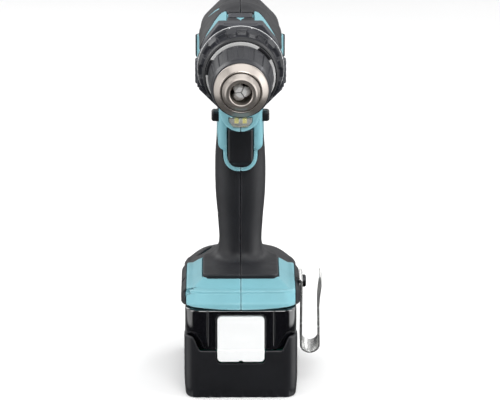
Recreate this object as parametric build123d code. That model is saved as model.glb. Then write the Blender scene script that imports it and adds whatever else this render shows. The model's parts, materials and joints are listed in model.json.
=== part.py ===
from build123d import *
import os
from math import acos, cos, pi, radians, sin, tan

# A cordless drill driver with a slide-on battery. Millimetres.
# The origin is the centre of the battery's underside. +Z is up, the chuck points along -Y,
# and +X is the tool's left side, where the belt hook hangs.

# ---------------------------------------------------------------- driving dimensions
SPINDLE_Z = 223.0  # height of the spindle above the underside
NOSE_Y = -116.0  # front rim of the chuck
GAP = 0.3  # air between pieces that move past each other
FIT = 0.05  # running clearance of a shaft in its bore

HEAD_R = 27.5  # outer radius of the motor and gearbox barrel
HEAD_FRONT, HEAD_REAR = -34.0, 62.0
BARREL_BORE = 24.6
SKIN = 1.6  # thickness of the soft overmould
WALL = 2.4  # thickness of the moulded shells
REAR_END = 82.0

# grip: height, middle of the section along Y, half depth, half width
GRIP_STATIONS = (
    (79.0, 14.0, 22.0, 14.8),
    (90.0, 14.5, 20.5, 14.0),
    (105.0, 15.5, 20.5, 14.8),
    (125.0, 17.0, 22.5, 16.4),
    (145.0, 17.5, 23.0, 16.6),
    (165.0, 16.0, 24.0, 16.0),
    (185.0, 13.0, 27.0, 15.8),
    (206.0, 11.0, 30.0, 15.8),
)
GRIP_TOP_Z = 158.0

FOOT_WIDTH, FOOT_FRONT, FOOT_REAR = 79.0, -60.0, 57.0
FOOT_BOTTOM, FOOT_LIP, FOOT_TOP = 61.8, 67.0, 79.0

BATTERY_WIDTH, BATTERY_LENGTH, BATTERY_TOP = 75.0, 115.0, 61.2
TRAY_TOP = 33.0
BUTTON_HALF = 15.6  # half width of the release button

TRIGGER_WIDTH, TRIGGER_LOW, TRIGGER_HIGH = 16.3, 147.3, 174.3
STEM_Z = 161.0
TRIGGER_FRONT = -22.0
LEVER_Z, LEVER_HALF = 181.0, 19.3
LAMP_Z = 180.6  # lower edge of the lamp's lens

MODULE = 0.8  # gear module of all three planetary stages
PRESSURE_ANGLE = radians(20)
ORBIT_R = 13.2  # centre distance of every planet
BACKLASH = 0.12
PINION_TEETH, PLANET_TEETH, RING_TEETH = 18, 15, 48
LOW_SUN_TEETH, LOW_PLANET_TEETH, LOW_RING_TEETH = 21, 12, 45

JAW_LEAN = 16.0  # the jaws lean outwards towards their rear ends
JAW_ANGLE = radians(JAW_LEAN)
JAW_R, JAW_FRONT, JAW_LENGTH = 3.4, -111.0, 20.5
JAW_TURN = 125.0  # where the first jaw stands round the axis
JAW_START_R = 1.8  # distance of a jaw's centre line from the axis at its front end

HOOK_Y, HOOK_Z = -20.0, 70.0  # belt hook screw on the foot's side
HOOK_TILT = 17.0

# housing screws: Y, Z and half width of the shell there
SCREW_SPOTS = (
    (-21.5, 190.0, 15.8),
    (32.0, 190.0, 13.4),
    (17.0, 141.0, 16.4),
    (15.0, 97.0, 14.2),
    (-47.5, 70.4, 29.0),
    (46.0, 70.5, 36.0),
)


# ---------------------------------------------------------------- helpers
def at_spindle(shape):
    """Lift a shape that was drawn about the Y axis up to the spindle."""
    return Pos(0, 0, SPINDLE_Z) * shape


def turned(*outline):
    """Revolve a closed outline of (radius, y) corners about the spindle."""
    face = make_face(Polyline(*outline, close=True))
    return at_spindle(revolve(face, Axis.Y, 360))


def tube(r_in, r_out, y0, y1):
    """A plain ring about the spindle, from y0 to y1."""
    if r_in <= 0:
        return rod(r_out, y0, y1)
    return turned((r_in, y0), (r_out, y0), (r_out, y1), (r_in, y1))


def rod(r, y0, y1, x=0.0, z=SPINDLE_Z):
    """A round bar along Y."""
    return Pos(x, (y0 + y1) / 2, z) * Rot(90, 0, 0) * Cylinder(r, y1 - y0)


def cross_rod(r, x0, x1, y, z):
    """A round bar along X."""
    return Pos((x0 + x1) / 2, y, z) * Rot(0, 90, 0) * Cylinder(r, x1 - x0)


def block(x0, x1, y0, y1, z0, z1):
    """A box between six planes."""
    size = Box(x1 - x0, y1 - y0, z1 - z0)
    return Pos((x0 + x1) / 2, (y0 + y1) / 2, (z0 + z1) / 2) * size


def soft_block(x0, x1, y0, y1, z0, z1, corner):
    """A box with rounded upright edges."""
    plan = RectangleRounded(x1 - x0, y1 - y0, corner)
    return Pos((x0 + x1) / 2, (y0 + y1) / 2, z0) * extrude(plan, z1 - z0)


def plate_along_y(sketch, y0, y1):
    """Extrude a sketch, drawn as (x, height above the spindle), from y0 to y1."""
    return Pos(0, y1, SPINDLE_Z) * Rot(90, 0, 0) * extrude(sketch, y1 - y0)


def spun(shape, angle):
    """Turn a shape about the spindle's own line."""
    return at_spindle(Rot(0, -angle, 0) * (Pos(0, 0, -SPINDLE_Z) * shape))


def around(count, shape, start=0.0):
    """Copies of a shape, evenly round the spindle."""
    return [spun(shape, start + k * 360 / count) for k in range(count)]


def mirrored(shape):
    """The same shape on the tool's other side."""
    return mirror(shape, about=Plane.YZ)


def half_space(side):
    """Everything on one side of the split plane: +1 is the left half, -1 the right."""
    x0, x1 = (0, 100) if side > 0 else (-100, 0)
    return block(x0, x1, -200, 200, -50, 400)


# ---------------------------------------------------------------- gears
def gear_sketch(teeth, r_root, r_tip, slack, turn):
    """An involute outline. Slack widens the teeth (+) or thins them (-), along the pitch circle."""
    r_pitch = MODULE * teeth / 2
    r_base = r_pitch * cos(PRESSURE_ANGLE)
    inv_pitch = tan(PRESSURE_ANGLE) - PRESSURE_ANGLE
    flank = []
    for k in range(5):
        r = r_root + (r_tip - r_root) * k / 4
        a = acos(min(1.0, r_base / r))
        half = pi / (2 * teeth) + slack / r_pitch + inv_pitch - (tan(a) - a)
        flank.append((r, half))
    points = []
    for n in range(teeth):
        mid = radians(turn) + n * 2 * pi / teeth
        rise = [(r, mid - half) for r, half in flank]
        fall = [(r, mid + half) for r, half in reversed(flank)]
        points += [(r * cos(a), r * sin(a)) for r, a in rise + fall]
    return make_face(Polyline(*points, close=True))


def outer_gear(teeth, y0, y1, bore, turn=0.0):
    """A spur gear about the spindle."""
    r = MODULE * teeth / 2
    face = gear_sketch(teeth, r - 1.05 * MODULE, r + 0.75 * MODULE, -BACKLASH / 2, turn)
    gear = plate_along_y(face, y0, y1)
    return gear - rod(bore, y0 - 1, y1 + 1) if bore else gear


def ring_gear(teeth, y0, y1, r_out, turn=0.0):
    """An internal gear about the spindle."""
    r = MODULE * teeth / 2
    face = gear_sketch(teeth, r - 0.75 * MODULE, r + 1.05 * MODULE, BACKLASH / 2, turn)
    return plate_along_y(Circle(r_out) - face, y0, y1)


def planet(index, teeth, y0, y1, turn):
    """One of three planets, with its bore for the carrier's pin."""
    gear = Pos(ORBIT_R, 0, 0) * outer_gear(teeth, y0, y1, 2.0 + FIT, turn)
    return spun(gear, 120 * index)


def carrier(disc_y0, disc_y1, disc_r, pins_to, bore=0.0):
    """A planet carrier: a disc with three pins that point backwards."""
    body = tube(bore, disc_r, disc_y0, disc_y1)
    for pin in around(3, rod(2.0, disc_y1 - 0.5, pins_to, x=ORBIT_R)):
        body += pin
    return body


# ---------------------------------------------------------------- chuck and spindle
def make_spindle():
    """Output spindle, with the third carrier's disc and pins at its rear."""
    shaft = turned(
        (0, -84.5), (4.6, -84.5), (5.4, -83.7), (5.4, -69.5), (7.5, -69.5), (7.5, -66.5),
        (5.6, -66.5), (5.6, -28.5), (0, -28.5),
    )
    shaft += carrier(-28.9, -25.2, 16.6, -17.9)
    return shaft - rod(1.6, -87, -72)


def jaw_line_r(y):
    """Distance of a jaw's centre line from the axis."""
    return JAW_START_R + (y - JAW_FRONT) * tan(JAW_ANGLE)


def jaw_bar(r, y0, y1):
    """An inclined round bar on the jaw's line, between two planes across the axis."""
    y_mid = (y0 + y1) / 2
    bar = Cylinder(r, (y1 - y0) * 1.3 + 20)
    bar = Pos(jaw_line_r(y_mid), y_mid, 0) * Rot(90, 0, 0) * Rot(0, -JAW_LEAN, 0) * bar
    return at_spindle(bar & Pos(0, y_mid, 0) * Box(80, y1 - y0, 80))


def make_jaw():
    """A jaw at angle zero: a bar whose inner side is cut to a 120 degree edge."""
    jaw = jaw_bar(JAW_R, JAW_FRONT, JAW_FRONT + JAW_LENGTH)
    gap = 0.35
    wedge = make_face(Polyline((gap, 0), (40, 39.65 * 3**0.5), (40, -39.65 * 3**0.5), close=True))
    jaw = jaw & plate_along_y(wedge, JAW_FRONT - 1, JAW_FRONT + JAW_LENGTH + 1)
    nose = turned((0, JAW_FRONT), (3.4, JAW_FRONT), (6.2, JAW_FRONT + 3.2), (30, JAW_FRONT + 3.2),
                  (30, -60), (0, -60))
    return jaw & nose


def make_chuck_body():
    """The chuck's steel body: nose, nut groove, rear thread and three jaw bores."""
    body = turned(
        (0, -108), (7.2, -108), (7.2, NOSE_Y + 0.5), (7.7, NOSE_Y), (9.5, NOSE_Y),
        (10.5, NOSE_Y + 1.4), (12.3, NOSE_Y + 5.2), (12.3, -104.6), (14.8, -104.6), (14.8, -97.4),
        (11.3, -97.4), (11.3, -91.6), (16.5, -91.6), (16.5, -91.0), (17.5, -91.0), (17.5, -70.6),
        (16.5, -69.6), (0, -69.6),
    )
    body -= rod(7.2, -109, -92)
    body -= rod(4.6, -93, -87)
    body -= rod(5.4 + FIT, -84.6, -60)
    body -= rod(2.6, -93, -80)
    for bore in around(3, jaw_bar(JAW_R + FIT, -112, -60), JAW_TURN):
        body -= bore
    return body


def make_chuck_screw():
    """The left-hand screw that locks the chuck on the spindle."""
    head = turned((0, -90.2), (3.6, -90.2), (4.2, -89.6), (4.2, -87.1), (0, -87.1))
    return head + rod(2.5, -87.2, -84.7) + rod(1.5, -84.8, -74)


def make_chuck_sleeve():
    """The plastic sleeve that is turned by hand, with shallow grip flutes."""
    sleeve = turned(
        (16.9, -104.4), (18.1, -104.4), (18.9, -101.5), (19.5, -98.0), (21.3, -74.0), (20.9, -70.2),
        (18.0, -70.2), (18.0, -91.4), (16.9, -91.4),
    )
    flute = Pos(20.95, -83.5, SPINDLE_Z) * Rot(0, 0, -4.3) * Box(1.2, 25, 3.4)
    for cut in around(18, flute):
        sleeve -= cut
    return sleeve


def make_nose_ring():
    """The nickel-plated cap on the sleeve's front end."""
    return turned(
        (12.7, -110.4), (13.1, -110.4), (17.3, -105.6), (17.7, -104.4), (12.7 + 2.4, -104.4),
    )


def make_jaw_nut():
    """The nut whose thread drives the jaws."""
    return tube(11.6, 16.8, -97.1, -91.9)


# ---------------------------------------------------------------- torque ring, mode ring, clutch
def make_torque_ring():
    """The numbered torque ring, with grip pockets and three tabs at its front."""
    ring = turned(
        (19.2, -67.6), (22.9, -67.6), (24.2, -66.4), (24.4, -62.0), (26.6, -57.0), (27.3, -54.0),
        (28.1, -50.0), (28.1, -47.0), (21.2, -47.0), (21.2, -65.0), (19.2, -65.0),
    )
    pocket = Pos(27.0, -58.2, SPINDLE_Z) * Rot(0, 0, -24) * Box(2.2, 9, 7.5)
    for cut in around(12, pocket, 15):
        ring -= cut
    tab = block(19.6, 22.6, -69.4, -67.5, SPINDLE_Z - 5, SPINDLE_Z + 5)
    for lug in around(3, tab & tube(19.6, 22.6, -69.4, -67.5), 44):
        ring += lug
    return ring


def make_ring_retainer():
    """The bright steel ring that holds the torque ring, notched for its three tabs."""
    ring = tube(18.0, 22.5, -69.0, -67.65)
    notch = block(15, 30, -72, -60, SPINDLE_Z - 5.4, SPINDLE_Z + 5.4)
    for cut in around(3, notch, 44):
        ring -= cut & tube(19.3, 30, -72, -60)
    return ring


def make_mode_ring():
    """The eight-sided mode ring with a grip block on each side."""
    collar = Rot(0, 0, 22.5) * RegularPolygon(28.4, 8, major_radius=False)
    ring = plate_along_y(collar, -46.2, HEAD_FRONT - GAP)
    side = block(26, 29.6, -45.2, -35.4, SPINDLE_Z - 8, SPINDLE_Z + 8)
    ring += side + mirrored(side)
    return ring - rod(19.5, -60, -20)


def make_clutch_spring():
    """The clutch spring, wound round the gearbox neck."""
    pitch, wire, turns = 2.9, 1.0, 4
    coil = Helix(pitch=pitch, height=pitch * turns - wire, radius=17.6)
    path = Pos(0, -39.4, 0) * Rot(90, 0, 0) * coil
    section = Plane(origin=path @ 0, z_dir=path % 0) * Circle(wire)
    return at_spindle(sweep(section, path=path, is_frenet=True))


def make_clutch_nut():
    """The nut that loads the clutch spring."""
    return tube(16.4, 20.8, -54.4, -51.6)


# ---------------------------------------------------------------- gearbox
def make_gear_housing():
    """The gearbox's aluminium case: a barrel, a front wall and a long neck."""
    body = turned(
        (22.3, 7.8), (24.2, 7.8), (24.2, -32.0), (19.2, -33.6), (19.2, -38.0), (16.0, -38.0),
        (16.0, -66.0), (12.5, -66.0), (12.5, -57.6), (7.4, -57.6), (7.4, -44.4), (12.5, -44.4),
        (12.5, -37.0), (9.0, -37.0), (9.0, -29.6), (22.3, -29.6),
    )
    return body - block(-3.2, 3.2, -17, 0, SPINDLE_Z + 15, SPINDLE_Z + 40)


def bearing(r_in, r_out, y0, y1):
    """A sealed ball bearing: two races and the shield between them, as one ring."""
    step = (r_out - r_in) * 0.22
    return turned(
        (r_in, y0), (r_in + step, y0), (r_in + step, y0 + 0.4), (r_out - step, y0 + 0.4),
        (r_out - step, y0), (r_out, y0), (r_out, y1), (r_out - step, y1), (r_out - step, y1 - 0.4),
        (r_in + step, y1 - 0.4), (r_in + step, y1), (r_in, y1),
    )


def make_ring_gear_2():
    """The middle ring gear, which the speed selector slides. Its groove takes the fork."""
    ring = ring_gear(LOW_RING_TEETH, -13.9, -6.8, 21.6, 360 / LOW_RING_TEETH / 2)
    return ring - tube(20.4, 30, -11.4, -9.2)


def make_speed_selector():
    """The speed selector knob and the finger that shifts the ring gear."""
    knob = block(-8, 8, -19.5, -10.5, SPINDLE_Z + 24.7, SPINDLE_Z + 28.2)
    knob += block(-6.2, 6.2, -18.0, -16.2, SPINDLE_Z + 28.0, SPINDLE_Z + 29.2)
    finger = block(-2.6, 2.6, -10.9, -9.7, SPINDLE_Z + 20.8, SPINDLE_Z + 25.3)
    return knob + finger


def make_motor_plate():
    """The plate between motor and gearbox, with the front bearing's seat."""
    return turned(
        (4.4, 8.2), (24.2, 8.2), (24.2, 10.4), (9.0, 10.4), (9.0, 14.0), (6.5, 14.0), (6.5, 9.2),
        (4.4, 9.2),
    )


# ---------------------------------------------------------------- motor
def make_stator_core():
    """The laminated stator: a ring with six poles."""
    core = tube(18.6, 22.6, 18, 44)
    pole = block(13.2, 19.0, 18, 44, SPINDLE_Z - 2.4, SPINDLE_Z + 2.4)
    shoe = tube(12.4, 14.2, 18, 44) & block(0, 30, 17, 45, SPINDLE_Z - 5, SPINDLE_Z + 5)
    for part in around(6, pole + shoe, 30):
        core += part
    return core


def make_stator_coils():
    """Six copper coils, one round each pole."""
    coil = block(14.6, 17.6, 15.4, 46.6, SPINDLE_Z - 4.6, SPINDLE_Z + 4.6)
    coil -= block(10, 20, 17.9, 44.1, SPINDLE_Z - 2.5, SPINDLE_Z + 2.5)
    return Compound(children=around(6, coil, 30))


def make_rotor_shaft():
    """The motor shaft, with the pinion on its front end."""
    shaft = rod(2.5, -0.5, 68.0)
    shaft += outer_gear(PINION_TEETH, 0.2, 7.2, 0)
    shaft += tube(2.4, 3.4, 14.2, 17.0)
    return shaft


def make_rotor_core():
    """The rotor's lamination stack, pressed on the shaft."""
    return tube(2.5, 11.9, 19.0, 43.0)


def make_cooling_fan():
    """The fan behind the motor: a hub, a back plate and curved blades."""
    fan = tube(2.5, 5.0, 48.5, 58.5) + tube(4.5, 21.5, 48.5, 50.0)
    blade = block(7, 21, 49.5, 57.5, SPINDLE_Z - 0.6, SPINDLE_Z + 0.6)
    for part in around(14, blade):
        fan += part
    return fan


def make_motor_board():
    """The motor's sensor board."""
    board = tube(13.2, 22.4, 10.8, 12.2)
    return board + block(-6, 6, 12.0, 14.4, SPINDLE_Z - 21.5, SPINDLE_Z - 17)


# ---------------------------------------------------------------- shells
def grip_form(shrink, z_low=None, z_high=None):
    """The grip's lofted form, drawn in by a given amount."""
    sections = []
    for z, y, half_depth, half_width in GRIP_STATIONS:
        plane = Plane(origin=(0, y, z))
        sections.append(plane * Ellipse(half_width - shrink, half_depth - shrink))
    form = loft(sections)
    if z_low is not None:
        form = form & block(-60, 60, -80, 80, z_low, z_high)
    return form


def chin(shrink):
    """The neck under the gearbox that carries the lamp, and the frame round the trigger."""
    half = 15.8 - shrink
    neck = block(-half, half, -36 + shrink, 4, 176.5 + shrink, 206)
    neck = chamfer(neck.edges().filter_by(Axis.X).group_by(Axis.Z)[0].group_by(Axis.Y)[0], 3.0)
    neck -= block(-30, 30, -60, HEAD_FRONT + GAP, SPINDLE_Z - 31.1, 260)
    frame = block(-11.6 + shrink, 11.6 - shrink, -13 + shrink, 6, 141 + shrink, 190)
    return neck + frame


def foot_form(shrink):
    """The foot: upright sides, then a top that slopes up to the grip."""
    half = FOOT_WIDTH / 2 - shrink
    y0, y1 = FOOT_FRONT + shrink, FOOT_REAR - shrink
    low = soft_block(-half, half, y0, y1, FOOT_BOTTOM + shrink, FOOT_LIP, 9)
    base = Pos(0, (y0 + y1) / 2, FOOT_LIP) * RectangleRounded(2 * half, y1 - y0, 9)
    top = Pos(0, 4, FOOT_TOP - shrink) * RectangleRounded(54 - 2 * shrink, 82 - 2 * shrink, 9)
    return low + loft([base, top])


def barrel(r, y0, y1):
    """The round barrel of the head."""
    return rod(r, y0, y1)


def screw_bosses():
    """Bosses that the housing screws run through."""
    bosses = []
    for y, z, half in SCREW_SPOTS:
        bosses.append(cross_rod(3.6, -half, half, y, z))
    return bosses


def make_shell():
    """Both halves of the moulded housing as one hollow body, before the split."""
    full = barrel(HEAD_R - SKIN, HEAD_FRONT, HEAD_REAR) + grip_form(SKIN) + chin(0) + foot_form(0)
    full += tube(20, HEAD_R, HEAD_FRONT, -10)
    void = grip_form(SKIN + WALL) + chin(WALL) + foot_form(WALL)
    outer = full - (void - block(-60, 60, -80, 80, 196, 260))
    for boss in screw_bosses():
        outer += boss & full
    outer -= rod(BARREL_BORE, HEAD_FRONT - 1, HEAD_REAR + 1)
    outer -= block(-20.8, 20.8, -23.3, 55.3, 55, 66)
    outer -= trigger_opening() + lever_opening() + lamp_opening() + selector_opening()
    outer -= cross_rod(2.0, -50, -30, HOOK_Y, HOOK_Z)
    return outer


def trigger_opening():
    """The slot in the grip's front that the trigger slides in."""
    half = TRIGGER_WIDTH / 2 + 0.5
    return block(-half, half, -60, 4, TRIGGER_LOW - 0.5, TRIGGER_HIGH + 0.5)


def lever_opening():
    """The slot across the neck for the reversing lever."""
    return block(-30, 30, -12.4, -1.6, LEVER_Z - 3.8, LEVER_Z + 3.8)


def lamp_opening():
    """The window for the lamp lens."""
    return block(-7.4, 7.4, -50, -29, LAMP_Z - 0.4, LAMP_Z + 6.4)


def selector_opening():
    """The window on top for the speed selector's knob and slide."""
    z = SPINDLE_Z
    return block(-8.4, 8.4, -20, -3.4, z + 20, z + 40)


def screw_holes():
    """Counterbores and shank holes for the housing screws."""
    holes = []
    for y, z, half in SCREW_SPOTS:
        holes.append(cross_rod(1.55, -half - 6, half - 4, y, z))
        holes.append(cross_rod(3.2, -half - 8, 2.6 - half, y, z))
    return holes


def make_housings(shell):
    """Split the shell into its right and left halves."""
    for hole in screw_holes():
        shell -= hole
    shell -= cross_rod(1.7, 30, 50, HOOK_Y, HOOK_Z)
    boss = cross_rod(4.2, 28, 37.3, HOOK_Y, HOOK_Z)
    shell += boss - cross_rod(1.7, 20, 50, HOOK_Y, HOOK_Z)
    other = cross_rod(4.2, -37.3, -28, HOOK_Y, HOOK_Z)
    shell += other - cross_rod(2.0, -50, -20, HOOK_Y, HOOK_Z)
    return shell & half_space(-1), shell & half_space(1)


def make_overmould():
    """The soft skin over the grip, the grip's back and the rear of the head."""
    skin = grip_form(0, 80, 196) - grip_form(SKIN)
    keep = block(-40, 40, -60, 60, 80, GRIP_TOP_Z) + block(-40, 40, 24, 60, 100, 196)
    skin = skin & keep
    skin -= chin(0)
    head = tube(HEAD_R - SKIN, HEAD_R, -9.9, HEAD_REAR)
    head -= block(-40, 40, -20, 44, SPINDLE_Z - 21, SPINDLE_Z + 8)
    head -= block(-40, 40, -20, 24, 150, SPINDLE_Z - 10)
    head -= grip_form(SKIN) & block(-60, 60, -60, 60, 180, 206)
    head -= block(-8.4, 8.4, -20, -3.4, 230, 260)
    skin = skin - barrel(HEAD_R - SKIN, -40, 70)
    skin += head
    for hole in screw_holes():
        skin -= hole
    return skin & half_space(-1), skin & half_space(1)


def make_rear_cover():
    """The domed cover behind the motor, with its bearing seat."""
    dome = turned(
        (0, REAR_END), (9, REAR_END), (17, 79.5), (23, 75), (26.6, 69), (27.5, 62.3), (24.4, 62.3),
        (24.4, 59.5), (23.2, 59.5), (23.2, 68), (20, 73), (9, 76.5), (8.5, 62.5), (6.5, 62.5),
        (6.5, 68.6), (0, 68.6),
    )
    for side in (-1, 1):
        dome += rod(3.0, 62.3, 70, x=side * 22.6, z=SPINDLE_Z - 9.0)
        dome -= rod(1.55, 55, 90, x=side * 22.6, z=SPINDLE_Z - 9.0)
        dome -= rod(3.1, 69, 90, x=side * 22.6, z=SPINDLE_Z - 9.0)
    return dome & (barrel(HEAD_R, 50, 90))


def screw_x(y, z, half):
    """A pan-head screw across the housing."""
    head = cross_rod(2.9, -half + 0.4, 2.5 - half, y, z)
    head -= Pos(-half + 0.4, y, z) * Box(1.8, 0.8, 3.6)
    head -= Pos(-half + 0.4, y, z) * Box(1.8, 3.6, 0.8)
    return head + cross_rod(1.45, 2.4 - half, min(half - 6, 12), y, z)


def make_housing_screws():
    """All the pan-head screws: six across the housing and two in the rear cover."""
    screws = [screw_x(*spot) for spot in SCREW_SPOTS]
    for side in (-1, 1):
        x, z = side * 22.6, SPINDLE_Z - 9.0
        screws.append(rod(1.45, 63, 69.1, x, z) + rod(2.9, 69.05, 71.2, x, z))
    return Compound(children=screws)


# ---------------------------------------------------------------- controls and lamp
def make_trigger():
    """The trigger: a hollow-faced push piece with a round stem into the switch."""
    half = TRIGGER_WIDTH / 2
    side = make_face(
        Polyline((TRIGGER_FRONT + 1.5, TRIGGER_HIGH), (-8, TRIGGER_HIGH), (-8, TRIGGER_LOW),
                 (-15, TRIGGER_LOW), (-20.4, TRIGGER_LOW + 2.4), (-21.6, TRIGGER_LOW + 8),
                 (-20.9, STEM_Z), (TRIGGER_FRONT + 0.3, TRIGGER_HIGH - 4), close=True)
    )
    push = Pos(-half, 0, 0) * extrude(Plane.YZ * side, TRIGGER_WIDTH)
    push = fillet(push.edges().filter_by(Axis.X, reverse=True).group_by(Axis.Y)[0], 1.2)
    return push + rod(3.0, -8.2, 8.0, z=STEM_Z)


def make_switch_body():
    """The switch module behind the trigger."""
    body = soft_block(-9.0, 9.0, 4.5, 27, 149, 173.5, 1.5)
    return body - rod(3.0 + FIT, 0, 16, z=STEM_Z)


def make_reversing_lever():
    """The push-through lever that picks the turning direction."""
    bar = block(-LEVER_HALF, LEVER_HALF, -12, -2, LEVER_Z - 3.45, LEVER_Z + 3.45)
    ends = bar.faces().filter_by(Axis.X)
    return fillet(ends[0].edges() + ends[1].edges(), 1.4)


def make_lamp():
    """The lamp's clear lens and the small board behind it."""
    lens = block(-7.0, 7.0, -38.4, -32, LAMP_Z, LAMP_Z + 6)
    lens = chamfer(lens.edges().filter_by(Axis.Y).group_by(Axis.Z)[0], 2.6)
    board = block(-6.6, 6.6, -31.6, -30, LAMP_Z + 0.3, LAMP_Z + 5.7)
    for x in (-3, 3):
        board += block(x - 1.2, x + 1.2, -31.9, -31.5, LAMP_Z + 1.7, LAMP_Z + 4.3)
    return lens, board


# ---------------------------------------------------------------- foot, hook and contacts
def make_terminal_block():
    """The tongue under the foot that the battery slides along."""
    block_top = block(-20.5, 20.5, -23, 55, 61.9, 65.6)
    web = block(-17, 17, -23, 55, 55, 62.5)
    flange = block(-21.4, 21.4, -23, 55, 52.3, 55.6)
    tongue = block_top + web + flange
    for x in (-10, 10):
        tongue -= block(x - 2.4, x + 2.4, -24, -8, 50, 58.5)
    return tongue


def make_contact_blades():
    """The two blades that meet the battery's contacts."""
    blades = [block(x - 0.4, x + 0.4, -21.5, -8, 52.8, 58.4) for x in (-10, 10)]
    return Compound(children=blades)


def hook_outline():
    """The strip's path: x outwards, height along the strip from its screw."""
    x_in, radius, low = 40.6, 6.0, -53.2
    x_out = x_in + 2 * radius
    bend = low + radius
    with BuildLine() as path:
        Polyline((x_in, 5.5), (x_in, -8), (x_in + 0.5, -14), (x_in, bend))
        CenterArc((x_in + radius, bend), radius, 180, 180)
        Polyline((x_out, bend), (x_out - 1.2, -14), (x_out - 0.4, -6), (x_out + 1.4, 2.5),
                 (x_out + 0.8, 6.0))
    return path.line


def make_belt_hook():
    """The plated steel belt hook, a bent strip that leans backwards."""
    thick, width = 1.6, 15.0
    strip = offset(hook_outline(), amount=thick / 2, side=Side.BOTH)
    face = make_face(strip)
    hook = Pos(0, width / 2, 0) * Rot(90, 0, 0) * extrude(face, width)
    hook = Rot(HOOK_TILT, 0, 0) * hook
    hook = Pos(0, HOOK_Y, HOOK_Z) * hook
    return hook - cross_rod(2.2, 30, 45, HOOK_Y, HOOK_Z)


def make_hook_screw():
    """The domed screw of the belt hook."""
    head = cross_rod(4.2, 41.45, 43.65, HOOK_Y, HOOK_Z)
    head = fillet(head.edges().sort_by(Axis.X)[-1], 1.4)
    head -= Pos(43.65, HOOK_Y, HOOK_Z) * Box(2, 0.9, 5)
    head -= Pos(43.65, HOOK_Y, HOOK_Z) * Box(2, 5, 0.9)
    return head + cross_rod(1.6, 30.5, 41.6, HOOK_Y, HOOK_Z)


# ---------------------------------------------------------------- battery
def button_pocket():
    """The space in the battery's front that the release button slides in."""
    half = BUTTON_HALF + 0.5
    return block(-half, half, -70, -52.4, 27.4, 57.6)


def make_battery_tray():
    """The lower half of the battery case, open at the top."""
    half, length = BATTERY_WIDTH / 2, BATTERY_LENGTH / 2
    low = RectangleRounded(2 * half - 4, 2 * length - 3, 8)
    high = Pos(0, 0, 14) * RectangleRounded(2 * half, 2 * length, 9)
    tray = loft([low, high]) + soft_block(-half, half, -length, length, 13.9, TRAY_TOP, 9)
    inner = soft_block(-half + WALL, half - WALL, -length + WALL, length - WALL, WALL, 40, 7)
    return tray - inner - button_pocket()


def make_battery_case():
    """The upper half of the battery case, with the channel for the tongue."""
    half, length = BATTERY_WIDTH / 2 - 0.6, BATTERY_LENGTH / 2 - 0.4
    case = soft_block(-half, half, -length, length, TRAY_TOP + 0.1, BATTERY_TOP, 9)
    inner = soft_block(-half + WALL, half - WALL, -length + WALL + 3, length - WALL, 30, 48.6, 6)
    case -= inner
    case -= block(-17.6, 17.6, -26, 70, 48, 70) + block(-22.0, 22.0, -26, 70, 51.7, 56.2)
    case += block(-22.5, 22.5, -26, length - 1, 48.6, 51.2)
    case -= button_pocket()
    return case


def make_battery_cells():
    """Ten round cells in two rows, lying across the battery."""
    cells = []
    for row in range(2):
        for k in range(5):
            y = -40.0 + 19.6 * k
            cells.append(cross_rod(9.2, -32.5, 32.5, y, 12.2 + 18.6 * row + 0.2))
    return Compound(children=cells)


def make_battery_terminals():
    """The two spring contacts in the battery's channel."""
    clips = []
    for x in (-10, 10):
        clip = block(x - 1.9, x + 1.9, -20.5, -9, 51.3, 57.6)
        clips.append(clip - block(x - 0.8, x + 0.8, -30, 0, 52.4, 60))
    return Compound(children=clips)


def make_release_button():
    """The white button that frees the battery: a plate in a pocket, with a lip below."""
    half = BUTTON_HALF
    plate = block(-half, half, -58.6, -54.4, 31.9, 57.0)
    plate = fillet(plate.edges().filter_by(Axis.Y), 2.2)
    lip = block(-half, half, -59.8, -57.9, 26.0, 34.0)
    lip = fillet(lip.edges().filter_by(Axis.Y).group_by(Axis.Z)[0], 3.0)
    return plate + lip


def make_latch_spring():
    """The coil spring under the release button."""
    coil = Helix(pitch=1.3, height=3.7, radius=1.5)
    path = Pos(0, -55.6, 27.8) * coil
    section = Plane(origin=path @ 0, z_dir=path % 0) * Circle(0.3)
    return sweep(section, path=path, is_frenet=True)


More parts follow.
